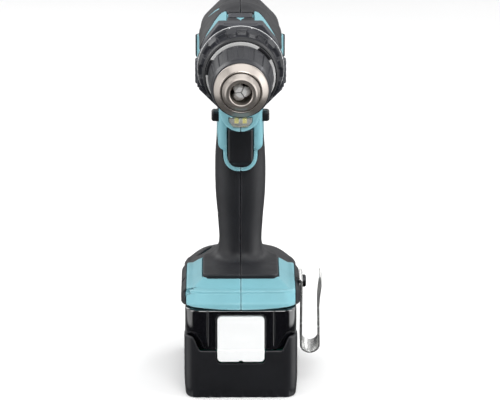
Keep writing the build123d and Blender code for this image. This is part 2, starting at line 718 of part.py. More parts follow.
# ---------------------------------------------------------------- build and write
def build_all():
    """Every sub-part, by the name of its file."""
    nodes = {}
    shell = make_shell()
    nodes["housing_right"], nodes["housing_left"] = make_housings(shell)
    nodes["grip_right"], nodes["grip_left"] = make_overmould()
    nodes["rear_cover"] = make_rear_cover()
    nodes["housing_screws"] = make_housing_screws()
    nodes["gear_housing"] = make_gear_housing()
    nodes["led_lens"], nodes["led_board"] = make_lamp()
    nodes["switch_body"] = make_switch_body()
    nodes["terminal_block"] = make_terminal_block()
    nodes["contact_blades"] = make_contact_blades()
    nodes["belt_hook"] = make_belt_hook()
    nodes["hook_screw"] = make_hook_screw()
    nodes["motor_plate"] = make_motor_plate()
    nodes["stator_core"] = make_stator_core()
    nodes["stator_coils"] = make_stator_coils()
    nodes["motor_board"] = make_motor_board()
    front, rear = bearing(2.5 + FIT, 6.5, 9.2, 13.8), bearing(2.5 + FIT, 6.5, 63.0, 67.6)
    nodes["motor_bearings"] = Compound(children=[front, rear])
    front = bearing(5.6 + FIT, 12.5, -65.4, -57.8)
    rear = bearing(5.6 + FIT, 12.5, -44.2, -37.2)
    nodes["spindle_bearings"] = Compound(children=[front, rear])
    nodes["ring_gear_1"] = ring_gear(RING_TEETH, 0.0, 7.4, 22.25)
    nodes["ring_gear_3"] = ring_gear(RING_TEETH, -25.0, -17.4, 22.0)
    nodes["clutch_spring"] = make_clutch_spring()
    nodes["spindle"] = make_spindle()
    nodes["chuck_body"] = make_chuck_body()
    nodes["chuck_screw"] = make_chuck_screw()
    nodes["chuck_sleeve"] = make_chuck_sleeve()
    nodes["nose_ring"] = make_nose_ring()
    nodes["jaw_nut"] = make_jaw_nut()
    jaw = make_jaw()
    for k in range(3):
        nodes[f"jaw_{k + 1}"] = spun(jaw, JAW_TURN + 120 * k)
    nodes["torque_ring"] = make_torque_ring()
    nodes["ring_retainer"] = make_ring_retainer()
    nodes["clutch_nut"] = make_clutch_nut()
    nodes["mode_ring"] = make_mode_ring()
    nodes["trigger"] = make_trigger()
    nodes["reversing_lever"] = make_reversing_lever()
    nodes["speed_selector"] = make_speed_selector()
    nodes["ring_gear_2"] = make_ring_gear_2()
    nodes["carrier_1"] = carrier(-6.0, -0.9, 16.6, 6.9) + outer_gear(LOW_SUN_TEETH, -13.6, -5.5, 0)
    nodes["carrier_2"] = carrier(-17.2, -14.3, 16.6, -6.6) + outer_gear(PINION_TEETH, -24.6, -16.9, 0)
    half_pitch = 180 / LOW_PLANET_TEETH
    for k in range(3):
        nodes[f"planet_first_{k + 1}"] = planet(k, PLANET_TEETH, -0.4, 6.6, 0)
        nodes[f"planet_middle_{k + 1}"] = planet(k, LOW_PLANET_TEETH, -13.8, -6.6, half_pitch)
        nodes[f"planet_last_{k + 1}"] = planet(k, PLANET_TEETH, -24.7, -18.0, 0)
    nodes["rotor_shaft"] = make_rotor_shaft()
    nodes["rotor_core"] = make_rotor_core()
    nodes["cooling_fan"] = make_cooling_fan()
    nodes["battery_tray"] = make_battery_tray()
    nodes["battery_case"] = make_battery_case()
    nodes["battery_cells"] = make_battery_cells()
    nodes["battery_terminals"] = make_battery_terminals()
    nodes["release_button"] = make_release_button()
    nodes["latch_spring"] = make_latch_spring()
    return nodes


def main():
    os.makedirs("parts", exist_ok=True)
    for name, shape in build_all().items():
        export_step(shape, f"parts/{name}.step")


main()
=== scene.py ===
"""Looks of a cordless drill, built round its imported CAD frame. Shapes are in millimetres, and are
written to Blender in metres. +Z is up, the chuck points along -Y and the belt hook is on +X."""
import functools
import json
import math

import bpy
import numpy as np
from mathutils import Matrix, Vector

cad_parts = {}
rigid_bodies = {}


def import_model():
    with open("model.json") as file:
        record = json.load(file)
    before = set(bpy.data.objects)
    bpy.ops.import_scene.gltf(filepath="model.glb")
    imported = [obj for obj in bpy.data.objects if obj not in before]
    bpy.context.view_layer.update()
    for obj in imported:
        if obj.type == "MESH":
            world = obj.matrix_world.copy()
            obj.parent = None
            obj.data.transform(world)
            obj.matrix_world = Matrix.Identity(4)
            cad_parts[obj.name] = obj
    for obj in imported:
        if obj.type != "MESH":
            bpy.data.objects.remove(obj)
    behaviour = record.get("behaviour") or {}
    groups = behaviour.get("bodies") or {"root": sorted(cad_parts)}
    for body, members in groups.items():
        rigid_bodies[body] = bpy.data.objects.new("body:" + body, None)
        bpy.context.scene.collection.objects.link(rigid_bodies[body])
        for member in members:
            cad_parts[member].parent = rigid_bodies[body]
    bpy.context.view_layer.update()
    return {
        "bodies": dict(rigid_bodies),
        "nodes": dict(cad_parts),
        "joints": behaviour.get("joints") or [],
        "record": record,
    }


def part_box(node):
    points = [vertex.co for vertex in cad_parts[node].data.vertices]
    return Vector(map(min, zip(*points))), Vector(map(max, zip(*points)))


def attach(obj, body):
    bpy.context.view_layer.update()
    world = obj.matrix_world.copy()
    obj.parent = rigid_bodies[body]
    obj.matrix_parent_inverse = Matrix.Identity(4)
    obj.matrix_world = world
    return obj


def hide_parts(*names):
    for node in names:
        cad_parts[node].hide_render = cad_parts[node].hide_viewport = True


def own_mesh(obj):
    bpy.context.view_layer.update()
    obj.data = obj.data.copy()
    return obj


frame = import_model()
NODES = frame["nodes"]
MM = 0.001


def cad_box(node):
    """A CAD node's lowest and highest corners, in millimetres."""
    low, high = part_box(node)
    return [v / MM for v in low], [v / MM for v in high]


# ---------------------------------------------------------------- places taken from the frame
SPINDLE_Z = sum(corner[2] for corner in cad_box("spindle")) / 2
NOSE_Y = cad_box("chuck_body")[0][1]
HEAD_FRONT = cad_box("mode_ring")[1][1] + 0.3
REAR_END = cad_box("rear_cover")[1][1]
COVER_FRONT = 62.3
FOOT_LOW, FOOT_HIGH = cad_box("housing_left")
FOOT_HALF = FOOT_HIGH[0]
FOOT_BOTTOM = FOOT_LOW[2]
FOOT_FRONT, FOOT_REAR = FOOT_LOW[1], 57.0
CASE_LOW, CASE_HIGH = cad_box("battery_case")
TRAY_LOW, TRAY_HIGH = cad_box("battery_tray")
LEVER_LOW, LEVER_HIGH = cad_box("reversing_lever")
TRIGGER_LOW, TRIGGER_HIGH = cad_box("trigger")
LENS_LOW, LENS_HIGH = cad_box("led_lens")
HOOK_SCREW_LOW, HOOK_SCREW_HIGH = cad_box("hook_screw")
HOOK_Y = (HOOK_SCREW_LOW[1] + HOOK_SCREW_HIGH[1]) / 2
HOOK_Z = (HOOK_SCREW_LOW[2] + HOOK_SCREW_HIGH[2]) / 2

SKIN = 1.6              # thickness of the overmould
WALL = 2.3              # thickness of the moulded walls
SEAM = 0.04             # half of the gap between the housing's halves
EAR = 9.5               # rise of the battery's lower half at its front corners
RING_LOW = 31.0         # how far below the spindle the head's black part ends
FRAME_Z = 173.5         # middle height of the trigger's frame
RAIL_FLOOR = 51.2       # height of the floor of the battery's rail channel
COVER_SCREW_X = 22.6    # places of the rear cover's two screws, from the spindle
COVER_SCREW_DROP = 9.0
FOOT_SLOPE = (42, 78.4, 66)    # the foot's rear slope: Y, Z and lean in degrees

# grip: height, middle of the section along Y, half depth, half width
GRIP_STATIONS = np.array([
    (79.0, 14.0, 22.0, 14.8),
    (90.0, 14.5, 20.5, 14.0),
    (105.0, 15.5, 20.5, 14.8),
    (125.0, 17.0, 22.5, 16.4),
    (145.0, 17.5, 23.0, 16.6),
    (165.0, 16.0, 24.0, 15.3),
    (185.0, 13.0, 27.0, 14.7),
    (206.0, 11.0, 30.0, 14.6),
])

# housing screws: Y, Z and half width of the shell there
SCREW_SPOTS = (
    (-21.5, 190.0, 15.8),
    (32.0, 190.0, 13.4),
    (17.0, 141.0, 16.4),
    (15.0, 97.0, 14.2),
    (-47.5, 70.4, 29.0),
    (46.0, 70.5, 18.0),
)


# ---------------------------------------------------------------- distance fields
def soft_max(a, b, k):
    """The larger of two fields, rounded over a width k where they meet."""
    h = np.clip(0.5 + 0.5 * (a - b) / k, 0, 1)
    return b * (1 - h) + a * h + k * h * (1 - h)


def soft_min(a, b, k):
    """The smaller of two fields, rounded in the same way."""
    return -soft_max(-a, -b, k)


def meet(*fields):
    """What is inside every one of some fields."""
    return functools.reduce(np.maximum, fields)


def join(*fields):
    """What is inside at least one of some fields."""
    return functools.reduce(np.minimum, fields)


def box2(u, v, half_u, half_v, r):
    """Distance to a rounded rectangle centred on the origin of two coordinates."""
    qu = np.abs(u) - (half_u - r)
    qv = np.abs(v) - (half_v - r)
    outside = np.hypot(np.maximum(qu, 0), np.maximum(qv, 0))
    return outside + np.minimum(np.maximum(qu, qv), 0) - r


def span(u, low, high):
    """Distance to a slab between two planes."""
    return np.maximum(low - u, u - high)


def box3(x, y, z, low, high, r):
    """Distance to a box with rounded edges."""
    q = [np.abs(c - (a + b) / 2) - ((b - a) / 2 - r) for c, a, b in zip((x, y, z), low, high)]
    outside = np.sqrt(sum(np.maximum(c, 0) ** 2 for c in q))
    return outside + np.minimum(np.maximum(np.maximum(q[0], q[1]), q[2]), 0) - r


def plane(u, v, u0, v0, degrees):
    """Distance above a line through (u0, v0) whose outward normal leans by an angle from +u."""
    a = math.radians(degrees)
    return (u - u0) * math.cos(a) + (v - v0) * math.sin(a)


def spline(at, xs, ys):
    """A smooth curve through stations: a cubic Hermite with finite-difference slopes."""
    slopes = np.gradient(ys, xs)
    at = np.clip(at, xs[0], xs[-1])
    i = np.clip(np.searchsorted(xs, at) - 1, 0, len(xs) - 2)
    h = xs[i + 1] - xs[i]
    t = (at - xs[i]) / h
    a = (1 + 2 * t) * (1 - t) ** 2 * ys[i] + t * (1 - t) ** 2 * h * slopes[i]
    return a + t * t * (3 - 2 * t) * ys[i + 1] + t * t * (t - 1) * h * slopes[i + 1]


# ---------------------------------------------------------------- mesh from a field
def surface_net(field, low, high, step):
    """Vertices and quads of the surface where a field crosses zero, on a grid."""
    axes = [np.arange(a - 2 * step, b + 2.5 * step, step) for a, b in zip(low, high)]
    x, y, z = axes[0][:, None, None], axes[1][None, :, None], axes[2][None, None, :]
    v = np.broadcast_to(field(x, y, z), [len(a) for a in axes]).astype(np.float32)
    inside = v < 0
    cell = np.zeros([n - 1 for n in v.shape], np.int8)
    for dx in (0, 1):
        for dy in (0, 1):
            for dz in (0, 1):
                cell += inside[dx:dx + cell.shape[0], dy:dy + cell.shape[1], dz:dz + cell.shape[2]]
    cells = np.argwhere((cell > 0) & (cell < 8))
    number = np.full(cell.shape, -1, np.int32)
    number[tuple(cells.T)] = np.arange(len(cells))
    total, hits = np.zeros((len(cells), 3)), np.zeros(len(cells))
    for axis in range(3):
        others = [a for a in range(3) if a != axis]
        for p in (0, 1):
            for q in (0, 1):
                start = cells.copy()
                start[:, others[0]] += p
                start[:, others[1]] += q
                end = start.copy()
                end[:, axis] += 1
                va, vb = v[tuple(start.T)], v[tuple(end.T)]
                cut = (va < 0) != (vb < 0)
                point = start[cut].astype(float)
                point[:, axis] += va[cut] / (va[cut] - vb[cut])
                total[cut] += point
                hits[cut] += 1
    points = total / hits[:, None] * step + [a[0] for a in axes]
    quads = []
    for axis in range(3):
        b, c = (axis + 1) % 3, (axis + 2) % 3
        first = np.take(inside, range(v.shape[axis] - 1), axis)
        second = np.take(inside, range(1, v.shape[axis]), axis)
        edge = np.argwhere(first != second)
        edge = edge[(edge[:, b] > 0) & (edge[:, c] > 0)]
        edge = edge[(edge[:, b] < cell.shape[b]) & (edge[:, c] < cell.shape[c])]
        ring = []
        for db, dc in ((-1, -1), (0, -1), (0, 0), (-1, 0)):
            near = edge.copy()
            near[:, b] += db
            near[:, c] += dc
            ring.append(number[tuple(near.T)])
        quad = np.stack(ring, 1)
        flip = ~first[tuple(edge.T)]
        quad[flip] = quad[flip][:, ::-1]
        quads.append(quad)
    return points, np.concatenate(quads)


def make_mesh(name, points, faces):
    """A mesh object in metres from points in millimetres."""
    mesh = bpy.data.meshes.new(name)
    faces = np.asarray(faces, np.int32)
    mesh.vertices.add(len(points))
    mesh.vertices.foreach_set("co", (np.asarray(points) * MM).astype(np.float32).ravel())
    mesh.loops.add(faces.size)
    mesh.loops.foreach_set("vertex_index", faces.ravel())
    mesh.polygons.add(len(faces))
    mesh.polygons.foreach_set("loop_start", np.arange(0, faces.size, faces.shape[1], dtype=np.int32))
    mesh.update(calc_edges=True)
    piece = bpy.data.objects.new(name, mesh)
    bpy.context.scene.collection.objects.link(piece)
    return piece


def shade_by_field(piece, field, reach=0.25):
    """Give a mesh the smooth normals of the field it came from."""
    mesh = piece.data
    co = np.zeros(len(mesh.vertices) * 3, np.float32)
    mesh.vertices.foreach_get("co", co)
    p = co.reshape(-1, 3).astype(float) / MM
    normal = np.zeros_like(p)
    for axis in range(3):
        ahead, behind = p.copy(), p.copy()
        ahead[:, axis] += reach
        behind[:, axis] -= reach
        normal[:, axis] = field(*ahead.T) - field(*behind.T)
    length = np.linalg.norm(normal, axis=1, keepdims=True)
    normal = normal / np.maximum(length, 1e-9)
    mesh.polygons.foreach_set("use_smooth", np.ones(len(mesh.polygons), bool))
    mesh.normals_split_custom_set_from_vertices(normal.tolist())


def keep_inside(mesh, points):
    """Hold the corners of a thinned mesh within the box of the points that it came from."""
    co = np.zeros(len(mesh.vertices) * 3, np.float32)
    mesh.vertices.foreach_get("co", co)
    co = np.clip(co.reshape(-1, 3), points.min(axis=0) * MM, points.max(axis=0) * MM)
    mesh.vertices.foreach_set("co", co.astype(np.float32).ravel())


def carve(name, field, low, high, step, keep=1.0):
    """A piece from a distance field, thinned to a share of its faces."""
    step = step
    points, quads = surface_net(field, low, high, step)
    piece = make_mesh(name, points, quads)
    if keep < 1.0:
        thin = piece.modifiers.new("thin", "DECIMATE")
        thin.ratio = keep
        graph = bpy.context.evaluated_depsgraph_get()
        mesh = bpy.data.meshes.new_from_object(piece.evaluated_get(graph))
        piece.modifiers.clear()
        piece.data = mesh
        keep_inside(mesh, points)
    shade_by_field(piece, field)
    return piece


def fine_outline(outline, pitch):
    """The points of a closed outline, divided so that none are further apart than the pitch."""
    points = []
    for (r0, y0), (r1, y1) in zip(outline, outline[1:] + outline[:1]):
        n = max(1, int(math.ceil(math.hypot(r1 - r0, y1 - y0) / pitch)))
        points += [(r0 + (r1 - r0) * k / n, y0 + (y1 - y0) * k / n) for k in range(n)]
    return np.array(points)


def lathe(name, outline, segments=180, pitch=1.0, shape=None, smooth_angle=35):
    """Revolve a closed outline of (radius, y) about the spindle; shape(r, y, angle) moves radii."""
    profile = fine_outline(list(outline), pitch)
    angle = np.linspace(0, 2 * np.pi, segments, endpoint=False)
    r = np.repeat(profile[:, 0][:, None], segments, 1)
    y = np.repeat(profile[:, 1][:, None], segments, 1)
    a = np.repeat(angle[None, :], len(profile), 0)
    if shape:
        r, y = shape(r, y, a)
    points = np.stack([r * np.cos(a), y, SPINDLE_Z + r * np.sin(a)], -1).reshape(-1, 3)
    n, m = len(profile), segments
    i, j = np.meshgrid(np.arange(n), np.arange(m), indexing="ij")
    i2, j2 = (i + 1) % n, (j + 1) % m
    quads = np.stack([i * m + j, i2 * m + j, i2 * m + j2, i * m + j2], -1).reshape(-1, 4)
    r0, y0 = profile[:, 0], profile[:, 1]
    area = np.sum(r0 * np.roll(y0, -1) - np.roll(r0, -1) * y0)
    if area > 0:
        quads = quads[:, ::-1]
    piece = make_mesh(name, points, quads)
    mesh = piece.data
    mesh.polygons.foreach_set("use_smooth", np.ones(len(mesh.polygons), bool))
    mesh.set_sharp_from_angle(angle=math.radians(smooth_angle))
    return piece


# ---------------------------------------------------------------- materials
def new_material(name):
    """An empty material, its shader and its object coordinates."""
    material = bpy.data.materials.new(name)
    material.use_nodes = True
    tree = material.node_tree
    shader = tree.nodes["Principled BSDF"]
    coords = tree.nodes.new("ShaderNodeTexCoord")
    return material, tree, shader, coords.outputs["Object"]


def noise(tree, where, scale, detail=3.0, rough=0.5):
    node = tree.nodes.new("ShaderNodeTexNoise")
    node.inputs["Scale"].default_value = scale
    node.inputs["Detail"].default_value = detail
    node.inputs["Roughness"].default_value = rough
    tree.links.new(where, node.inputs["Vector"])
    return node.outputs["Fac"]


def ramp(tree, value, stops):
    """A colour ramp: stops are (position, colour or grey level)."""
    node = tree.nodes.new("ShaderNodeValToRGB")
    elements = node.color_ramp.elements
    while len(elements) < len(stops):
        elements.new(0.5)
    for element, (position, colour) in zip(elements, stops):
        element.position = position
        element.color = tuple(colour) + (1,) if hasattr(colour, "__len__") else (colour,) * 3 + (1,)
    tree.links.new(value, node.inputs["Fac"])
    return node.outputs["Color"]


def mix(tree, factor, a, b):
    node = tree.nodes.new("ShaderNodeMix")
    node.data_type = "RGBA"
    tree.links.new(factor, node.inputs["Factor"])
    for source, socket in ((a, node.inputs[6]), (b, node.inputs[7])):
        if hasattr(source, "is_linked"):
            tree.links.new(source, socket)
        else:
            socket.default_value = tuple(source) + (1,)
    return node.outputs[2]


def bump(tree, shader, height, strength, distance, before=None):
    node = tree.nodes.new("ShaderNodeBump")
    node.inputs["Strength"].default_value = strength
    node.inputs["Distance"].default_value = distance
    tree.links.new(height, node.inputs["Height"])
    if before:
        tree.links.new(before, node.inputs["Normal"])
    tree.links.new(node.outputs["Normal"], shader.inputs["Normal"])
    return node.outputs["Normal"]


def edge_highlight_and_wear_mask(tree, low=0.52, high=0.60):
    """Where a dense mesh has its outer edges, from the shape's own curvature: the mask of a painted highlight
    along convex edges, which also stands for edge wear.
    """
    geometry = tree.nodes.new("ShaderNodeNewGeometry")
    return ramp(tree, geometry.outputs["Pointiness"], [(low, 0.0), (high, 1.0)])


def moulded(name, colour, rough, grain=2600, depth=0.00003, edge_highlight_and_wear_colour=None, coat=0.0, mottled=0.14, shine=0.4):
    """Moulded plastic or elastomer: fine grain, cloudy colour, and convex edges painted lighter, partly scuffed
    wear and partly a painted edge highlight.
    """
    material, tree, shader, where = new_material(name)
    dark = [c * (1 - mottled) for c in colour]
    light = [min(1, c * (1 + mottled)) for c in colour]
    cloud = ramp(tree, noise(tree, where, 45, 4, 0.6), [(0.3, dark), (0.7, light)])
    # painted highlight: convex edges are lightened towards a paler colour, broken up by scuff noise, as edge wear
    # and a painted edge sheen together
    if edge_highlight_and_wear_colour:
        scuff = noise(tree, where, 320, 3, 0.6)
        amount = tree.nodes.new("ShaderNodeMath")
        amount.operation = "MULTIPLY"
        tree.links.new(edge_highlight_and_wear_mask(tree), amount.inputs[0])
        tree.links.new(scuff, amount.inputs[1])
        cloud = mix(tree, amount.outputs[0], cloud, edge_highlight_and_wear_colour)
    tree.links.new(cloud, shader.inputs["Base Color"])
    patches = ramp(tree, noise(tree, where, 120, 5, 0.65), [(0.25, rough * 0.85), (0.75, rough * 1.15)])
    tree.links.new(patches, shader.inputs["Roughness"])
    shader.inputs["Specular IOR Level"].default_value = shine
    shader.inputs["Coat Weight"].default_value = coat
    shader.inputs["Coat Roughness"].default_value = 0.08
    bump(tree, shader, noise(tree, where, grain, 2, 0.5), 0.35, depth)
    return material


def metal(name, colour, rough, turned=True, grain=5200, depth=0.000004, soot=0.25, plated=1.0):
    """Plated or machined metal: lathe marks round the spindle, stains and smudges."""
    material, tree, shader, where = new_material(name)
    shader.inputs["Metallic"].default_value = plated
    dark = [c * (1 - soot) for c in colour]
    tint = ramp(tree, noise(tree, where, 160, 4, 0.6), [(0.3, dark), (0.72, colour)])
    tree.links.new(tint, shader.inputs["Base Color"])
    smear = ramp(tree, noise(tree, where, 420, 5, 0.7), [(0.3, rough * 0.92), (0.7, rough * 1.1)])
    tree.links.new(smear, shader.inputs["Roughness"])
    if turned:
        stretch = tree.nodes.new("ShaderNodeMapping")
        stretch.inputs["Scale"].default_value = (0.02, 1, 0.02)
        tree.links.new(where, stretch.inputs["Vector"])
        where = stretch.outputs["Vector"]
    bump(tree, shader, noise(tree, where, grain, 2, 0.5), 0.3, depth)
    return material


def build_materials():
    """Every material of the tool, by the short name that the pieces use."""
    return {
        # the paler colour given after each moulded material's grain is for its convex edges: a painted edge
        # highlight mixed with wear
        "teal": moulded("teal_nylon", (0.185, 0.425, 0.485), 0.34, edge_highlight_and_wear_colour=(0.5, 0.72, 0.76), mottled=0.05),
        "skin": moulded("black_elastomer", (0.0125, 0.013, 0.016), 0.50, 1900, 0.00005, (0.08, 0.08, 0.09)),
        "black": moulded("black_nylon", (0.0115, 0.012, 0.0145), 0.36, 2400, 0.00003, (0.07, 0.07, 0.08)),
        "slate": moulded("dark_slate_nylon", (0.015, 0.016, 0.021), 0.33, 2300, 0.00003, (0.12,
                         0.12, 0.14)),
        "gloss": moulded("gloss_black", (0.0035, 0.0035, 0.005), 0.10, 900, 0.000006, coat=1.0, shine=1.0),
        "grey": moulded("grey_nylon", (0.034, 0.036, 0.044), 0.40, 2200, 0.00003, (0.17, 0.17, 0.19)),
        "white": moulded("white_plastic", (0.80, 0.81, 0.81), 0.38, 2600, 0.00002, mottled=0.02),
        "nickel": metal("satin_nickel", (0.45, 0.41, 0.375), 0.31, soot=0.05, plated=0.85),
        "bright": metal("bright_ring", (0.86, 0.86, 0.85), 0.42, soot=0.1, plated=0.35),
        "steel": metal("machined_steel", (0.45, 0.45, 0.46), 0.30),
        "jaw": metal("jaw_steel", (0.88, 0.88, 0.87), 0.34, turned=False, grain=3000,
                     depth=0.00001, plated=0.3),
        "chrome": metal("bright_strip", (0.80, 0.80, 0.79), 0.26, turned=False, grain=1800,
                        soot=0.05, plated=0.8),
        "oxide": metal("black_oxide", (0.05, 0.05, 0.055), 0.38, turned=False),
        "alloy": metal("cast_alloy", (0.52, 0.52, 0.53), 0.45, turned=False, grain=1500, depth=0.00005),
        "copper": metal("copper_wire", (0.75, 0.33, 0.16), 0.34),
        "board": moulded("solder_mask", (0.012, 0.10, 0.05), 0.32, 900, 0.00004),
        "pale_board": moulded("white_solder_mask", (0.80, 0.81, 0.79), 0.35, 900, 0.00003, mottled=0.04),
        "wrap": moulded("cell_wrap", (0.03, 0.20, 0.16), 0.30, 500, 0.00003),
        "ink": moulded("white_ink", (0.78, 0.79, 0.80), 0.45, 1500, 0.00001, mottled=0.05),
        "lens": clear_lens(),
        "led": led_chip(),
    }


def clear_lens():
    """The lamp's clear cover, slightly hazed."""
    material, tree, shader, where = new_material("clear_lens")
    shader.inputs["Transmission Weight"].default_value = 0.85
    shader.inputs["IOR"].default_value = 1.49
    tint = ramp(tree, noise(tree, where, 300, 3), [(0.3, (0.90, 0.92, 0.92)), (0.7, (0.99, 0.99, 0.98))])
    tree.links.new(tint, shader.inputs["Base Color"])
    haze = ramp(tree, noise(tree, where, 700, 3), [(0.3, 0.05), (0.8, 0.16)])
    tree.links.new(haze, shader.inputs["Roughness"])
    bump(tree, shader, noise(tree, where, 800, 2), 0.25, 0.00005)
    return material


def led_chip():
    """A faintly glowing phosphor."""
    material, tree, shader, where = new_material("led_phosphor")
    tint = ramp(tree, noise(tree, where, 900, 3), [(0.3, (0.80, 0.72, 0.12)), (0.7, (0.95, 0.88, 0.25))])
    tree.links.new(tint, shader.inputs["Base Color"])
    tree.links.new(tint, shader.inputs["Emission Color"])
    shader.inputs["Emission Strength"].default_value = 0.25
    shader.inputs["Roughness"].default_value = 0.4
    bump(tree, shader, noise(tree, where, 1500, 2), 0.3, 0.00003)
    return material


MATERIALS = build_materials()


def finish_piece(piece, material, body, slot, *nodes):
    """Give a piece its material, the body it rides on and the CAD nodes it stands for."""
    piece.data.materials.clear()
    piece.data.materials.append(MATERIALS[material])
    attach(piece, body)
    if nodes:
        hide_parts(*nodes)
    return piece


# ---------------------------------------------------------------- the housing's outer form
def grip_section(x, y, z, grow=0.0):
    """Distance to the grip: an oval column with flat sides."""
    zs, yc, depth, width = GRIP_STATIONS.T
    middle, half_depth, half_width = (spline(z, zs, column) for column in (yc, depth, width))
    half_depth, half_width = half_depth + grow, half_width + grow
    return box2(x, y - middle, half_width, half_depth, half_width * 0.93)


def ramp01(t, start, end):
    """0 before the start, 1 after the end, smooth between."""
    u = np.clip((t - start) / (end - start), 0, 1)
    return u * u * (3 - 2 * u)


def head_form(x, y, z):
    """The barrel: a flat roof with two facets, widest over the gearbox and narrower to the rear."""
    ax, h = np.abs(x), z - SPINDLE_Z
    roof = 27.2 + 1.7 * ramp01(y, 0.5, 15) - 0.13 * np.clip(y - 33, 0, 40)
    facet = np.maximum(28.4 - 0.2 * np.clip(y - 18, 0, 60), 25.4) - 0.5 * np.clip(y - 52, 0, 20)
    girth = 28.7 - 0.1 * np.clip(y - 18, 0, 15) - 0.03 * np.clip(y - 33, 0, 40)
    body = soft_max(np.hypot(ax, h) - girth, (ax + h) * math.sqrt(0.5) - facet, 0.8)
    body = soft_max(soft_max(body, h - roof, 0.6), ax - 27.4, 1.0)
    lid = 7.5 - 0.287 * (y - 17)
    pad = soft_max(box3(ax, y, h, (18, 6, -10), (28.8, 42, 8), 2.0), plane(ax, y, 26.9, 7.0, -11.5), 0.8)
    pad = soft_min(pad, box3(ax, y, h, (18, 20.3, -9.6), (29.6, 42, 7.6), 1.0), 0.4)
    pad = soft_max(pad, (h - lid) * 0.96, 0.8)
    body = soft_min(body, pad, 0.8)
    return soft_max(body, span(y, HEAD_FRONT, COVER_FRONT - 0.15), 0.9)


def chin_form(x, y, z):
    """The neck below the gearbox: the lamp's chin, the cheeks and the trigger's frame."""
    ax = np.abs(x)
    cheeks = box3(x, y, z, (-14.9, -16, 158), (14.9, 18, 212), 5.0)
    width = 9.4 + 5.0 * np.clip((z - 177) / 13, 0, 1)
    bottom = 177.0 + 0.035 * x * x + np.clip((y + 20) * 0.12, 0, 3)
    chin = soft_max(meet(ax - width, y - 6), bottom - z, 2.5)
    chin = soft_max(meet(chin, z - 212), 0.022 * x * x - 37.0 - y, 2.0)
    frame_plan = box2(x, z - FRAME_Z, 11.35, 30.0, 9.4)
    rim = soft_max(frame_plan, span(y, -12.5 + 0.02 * x * x, 20), 1.3)
    whole = soft_min(soft_min(cheeks, rim, 1.6), chin, 2.5)
    under_ring = meet(y - HEAD_FRONT - 0.3, SPINDLE_Z - 31.2 - z)
    return meet(whole, -under_ring)


def foot_form(x, y, z):
    """The foot: an upright rim, sloping shoulders, a flat top and a bumper round its sides."""
    ax = np.abs(x)
    middle, half = (FOOT_FRONT + FOOT_REAR) / 2, (FOOT_REAR - FOOT_FRONT) / 2
    plan = box2(x, y - middle, FOOT_HALF - 3.2, half, 9.0)
    top = soft_max(z - 78.6, plane(y, z, -37, 77.9, 109), 0.8)
    top = soft_max(top, plane(y, z, -52.5, 72.6, 130), 0.6)
    top = soft_max(top, plane(ax, z, 24.5 - 12.0 * ramp01(y, 8, 34), 78.2, 58), 0.9)
    corner = 0.5 * (ax - 29.5) - 0.5 * (y + 52.5) + 0.7071 * (z - 72.6)
    top = soft_max(top, corner, 0.6)
    top = soft_max(top, plane(y, z, *FOOT_SLOPE), 3.0)
    low = FOOT_BOTTOM + 0.0023 * x * x * np.clip((-y - 40) / 20, 0, 1)
    body = soft_max(soft_max(plan, top, 0.7), low - z, 0.8)
    bumper = box2(x, y - (FOOT_REAR - 54) / 2, FOOT_HALF - 0.15, (FOOT_REAR + 54) / 2, 15.0)
    fall = 8.5 * ramp01(y, 6, 42)
    lid = soft_max(z - 73.5 + fall, plane(ax, z, 36.5, 72.5 - fall, 40), 1.5)
    bumper = soft_max(soft_max(bumper, lid, 1.5), FOOT_BOTTOM - z, 0.8)
    return soft_min(body, soft_max(bumper, plane(y, z, *FOOT_SLOPE), 2.0), 0.4)


def pad_plan(x, y):
    """The dark pad that the grip stands on, on top of the foot."""
    return box2(x, y + 13.0, 25.2, 25.0, 5.0)


def outer_form(x, y, z):
    """The whole housing, teal and black together."""
    grip = soft_max(grip_section(x, y, z), span(z, 70, 207), 0.5)
    pad = soft_max(pad_plan(x, y), span(z, 70, 79.6), 1.5)
    body = soft_min(grip, soft_min(foot_form(x, y, z), pad, 0.6), 7.0)
    body = soft_min(body, chin_form(x, y, z), 2.0)
    return soft_min(body, head_form(x, y, z), 2.5)


def dark_region(x, y, z):
    """Below zero where the housing is covered by the black overmould."""
    ax, h = np.abs(x), z - SPINDLE_Z
    frame = meet(box2(x, z - FRAME_Z, 11.6, 30.3, 9.6), y - 8.0)
    upper = z - (155.5 + np.clip(y + 6, 0, 60) * 0.95)
    column = meet(upper, 79.0 - z, -frame)
    pad = meet(pad_plan(x, y), span(z, 74, 120))
    rear = 9.0 + 1.13 * np.clip(ax - 24.5, 0, 20)
    bumper = meet(join(FOOT_HALF - 3.25 - ax, rear - y), z - 90)
    turn = np.degrees(np.arctan2(ax, h))
    arc = np.radians(1.0) * np.hypot(ax, h)
    patch = meet((turn - 27 + 0.95 * np.minimum(y, 0)) * arc, y - 0.5)
    patch = meet(patch, 8.9 - ax)
    cap = meet((turn - 71 - 3 * ramp01(y, -20, 10)) * arc, -patch)
    sliver = meet(np.abs(turn - 39) * arc - 5.2, np.abs(y - 17.5 - 0.19 * (turn - 39)) - 2.1)
    sliver = meet(sliver, x)
    cheek = meet(box2(y - 31.0, h + 1.0, 11.0, 9.0, 3.5), 22 - ax)
    head = join(meet(cap, -sliver), cheek, 43.0 - y + 0.2 * np.abs(h))
    head = meet(head, SPINDLE_Z - RING_LOW - z)
    return join(column, pad, bumper, head)


def cavity(x, y, z):
    """The hollow of the housing, with solid bosses round its screws."""
    solid = outer_form(x, y, z)
    h = z - SPINDLE_Z
    bore = meet(np.hypot(x, h) - 24.6, span(y, HEAD_FRONT - 5, 80))
    hollow = join(solid + SKIN + WALL, meet(bore, solid + SKIN + 1.0))
    for side_y, side_z, half in SCREW_SPOTS:
        hollow = meet(hollow, 4.6 - np.hypot(y - side_y, z - side_z))
    return hollow


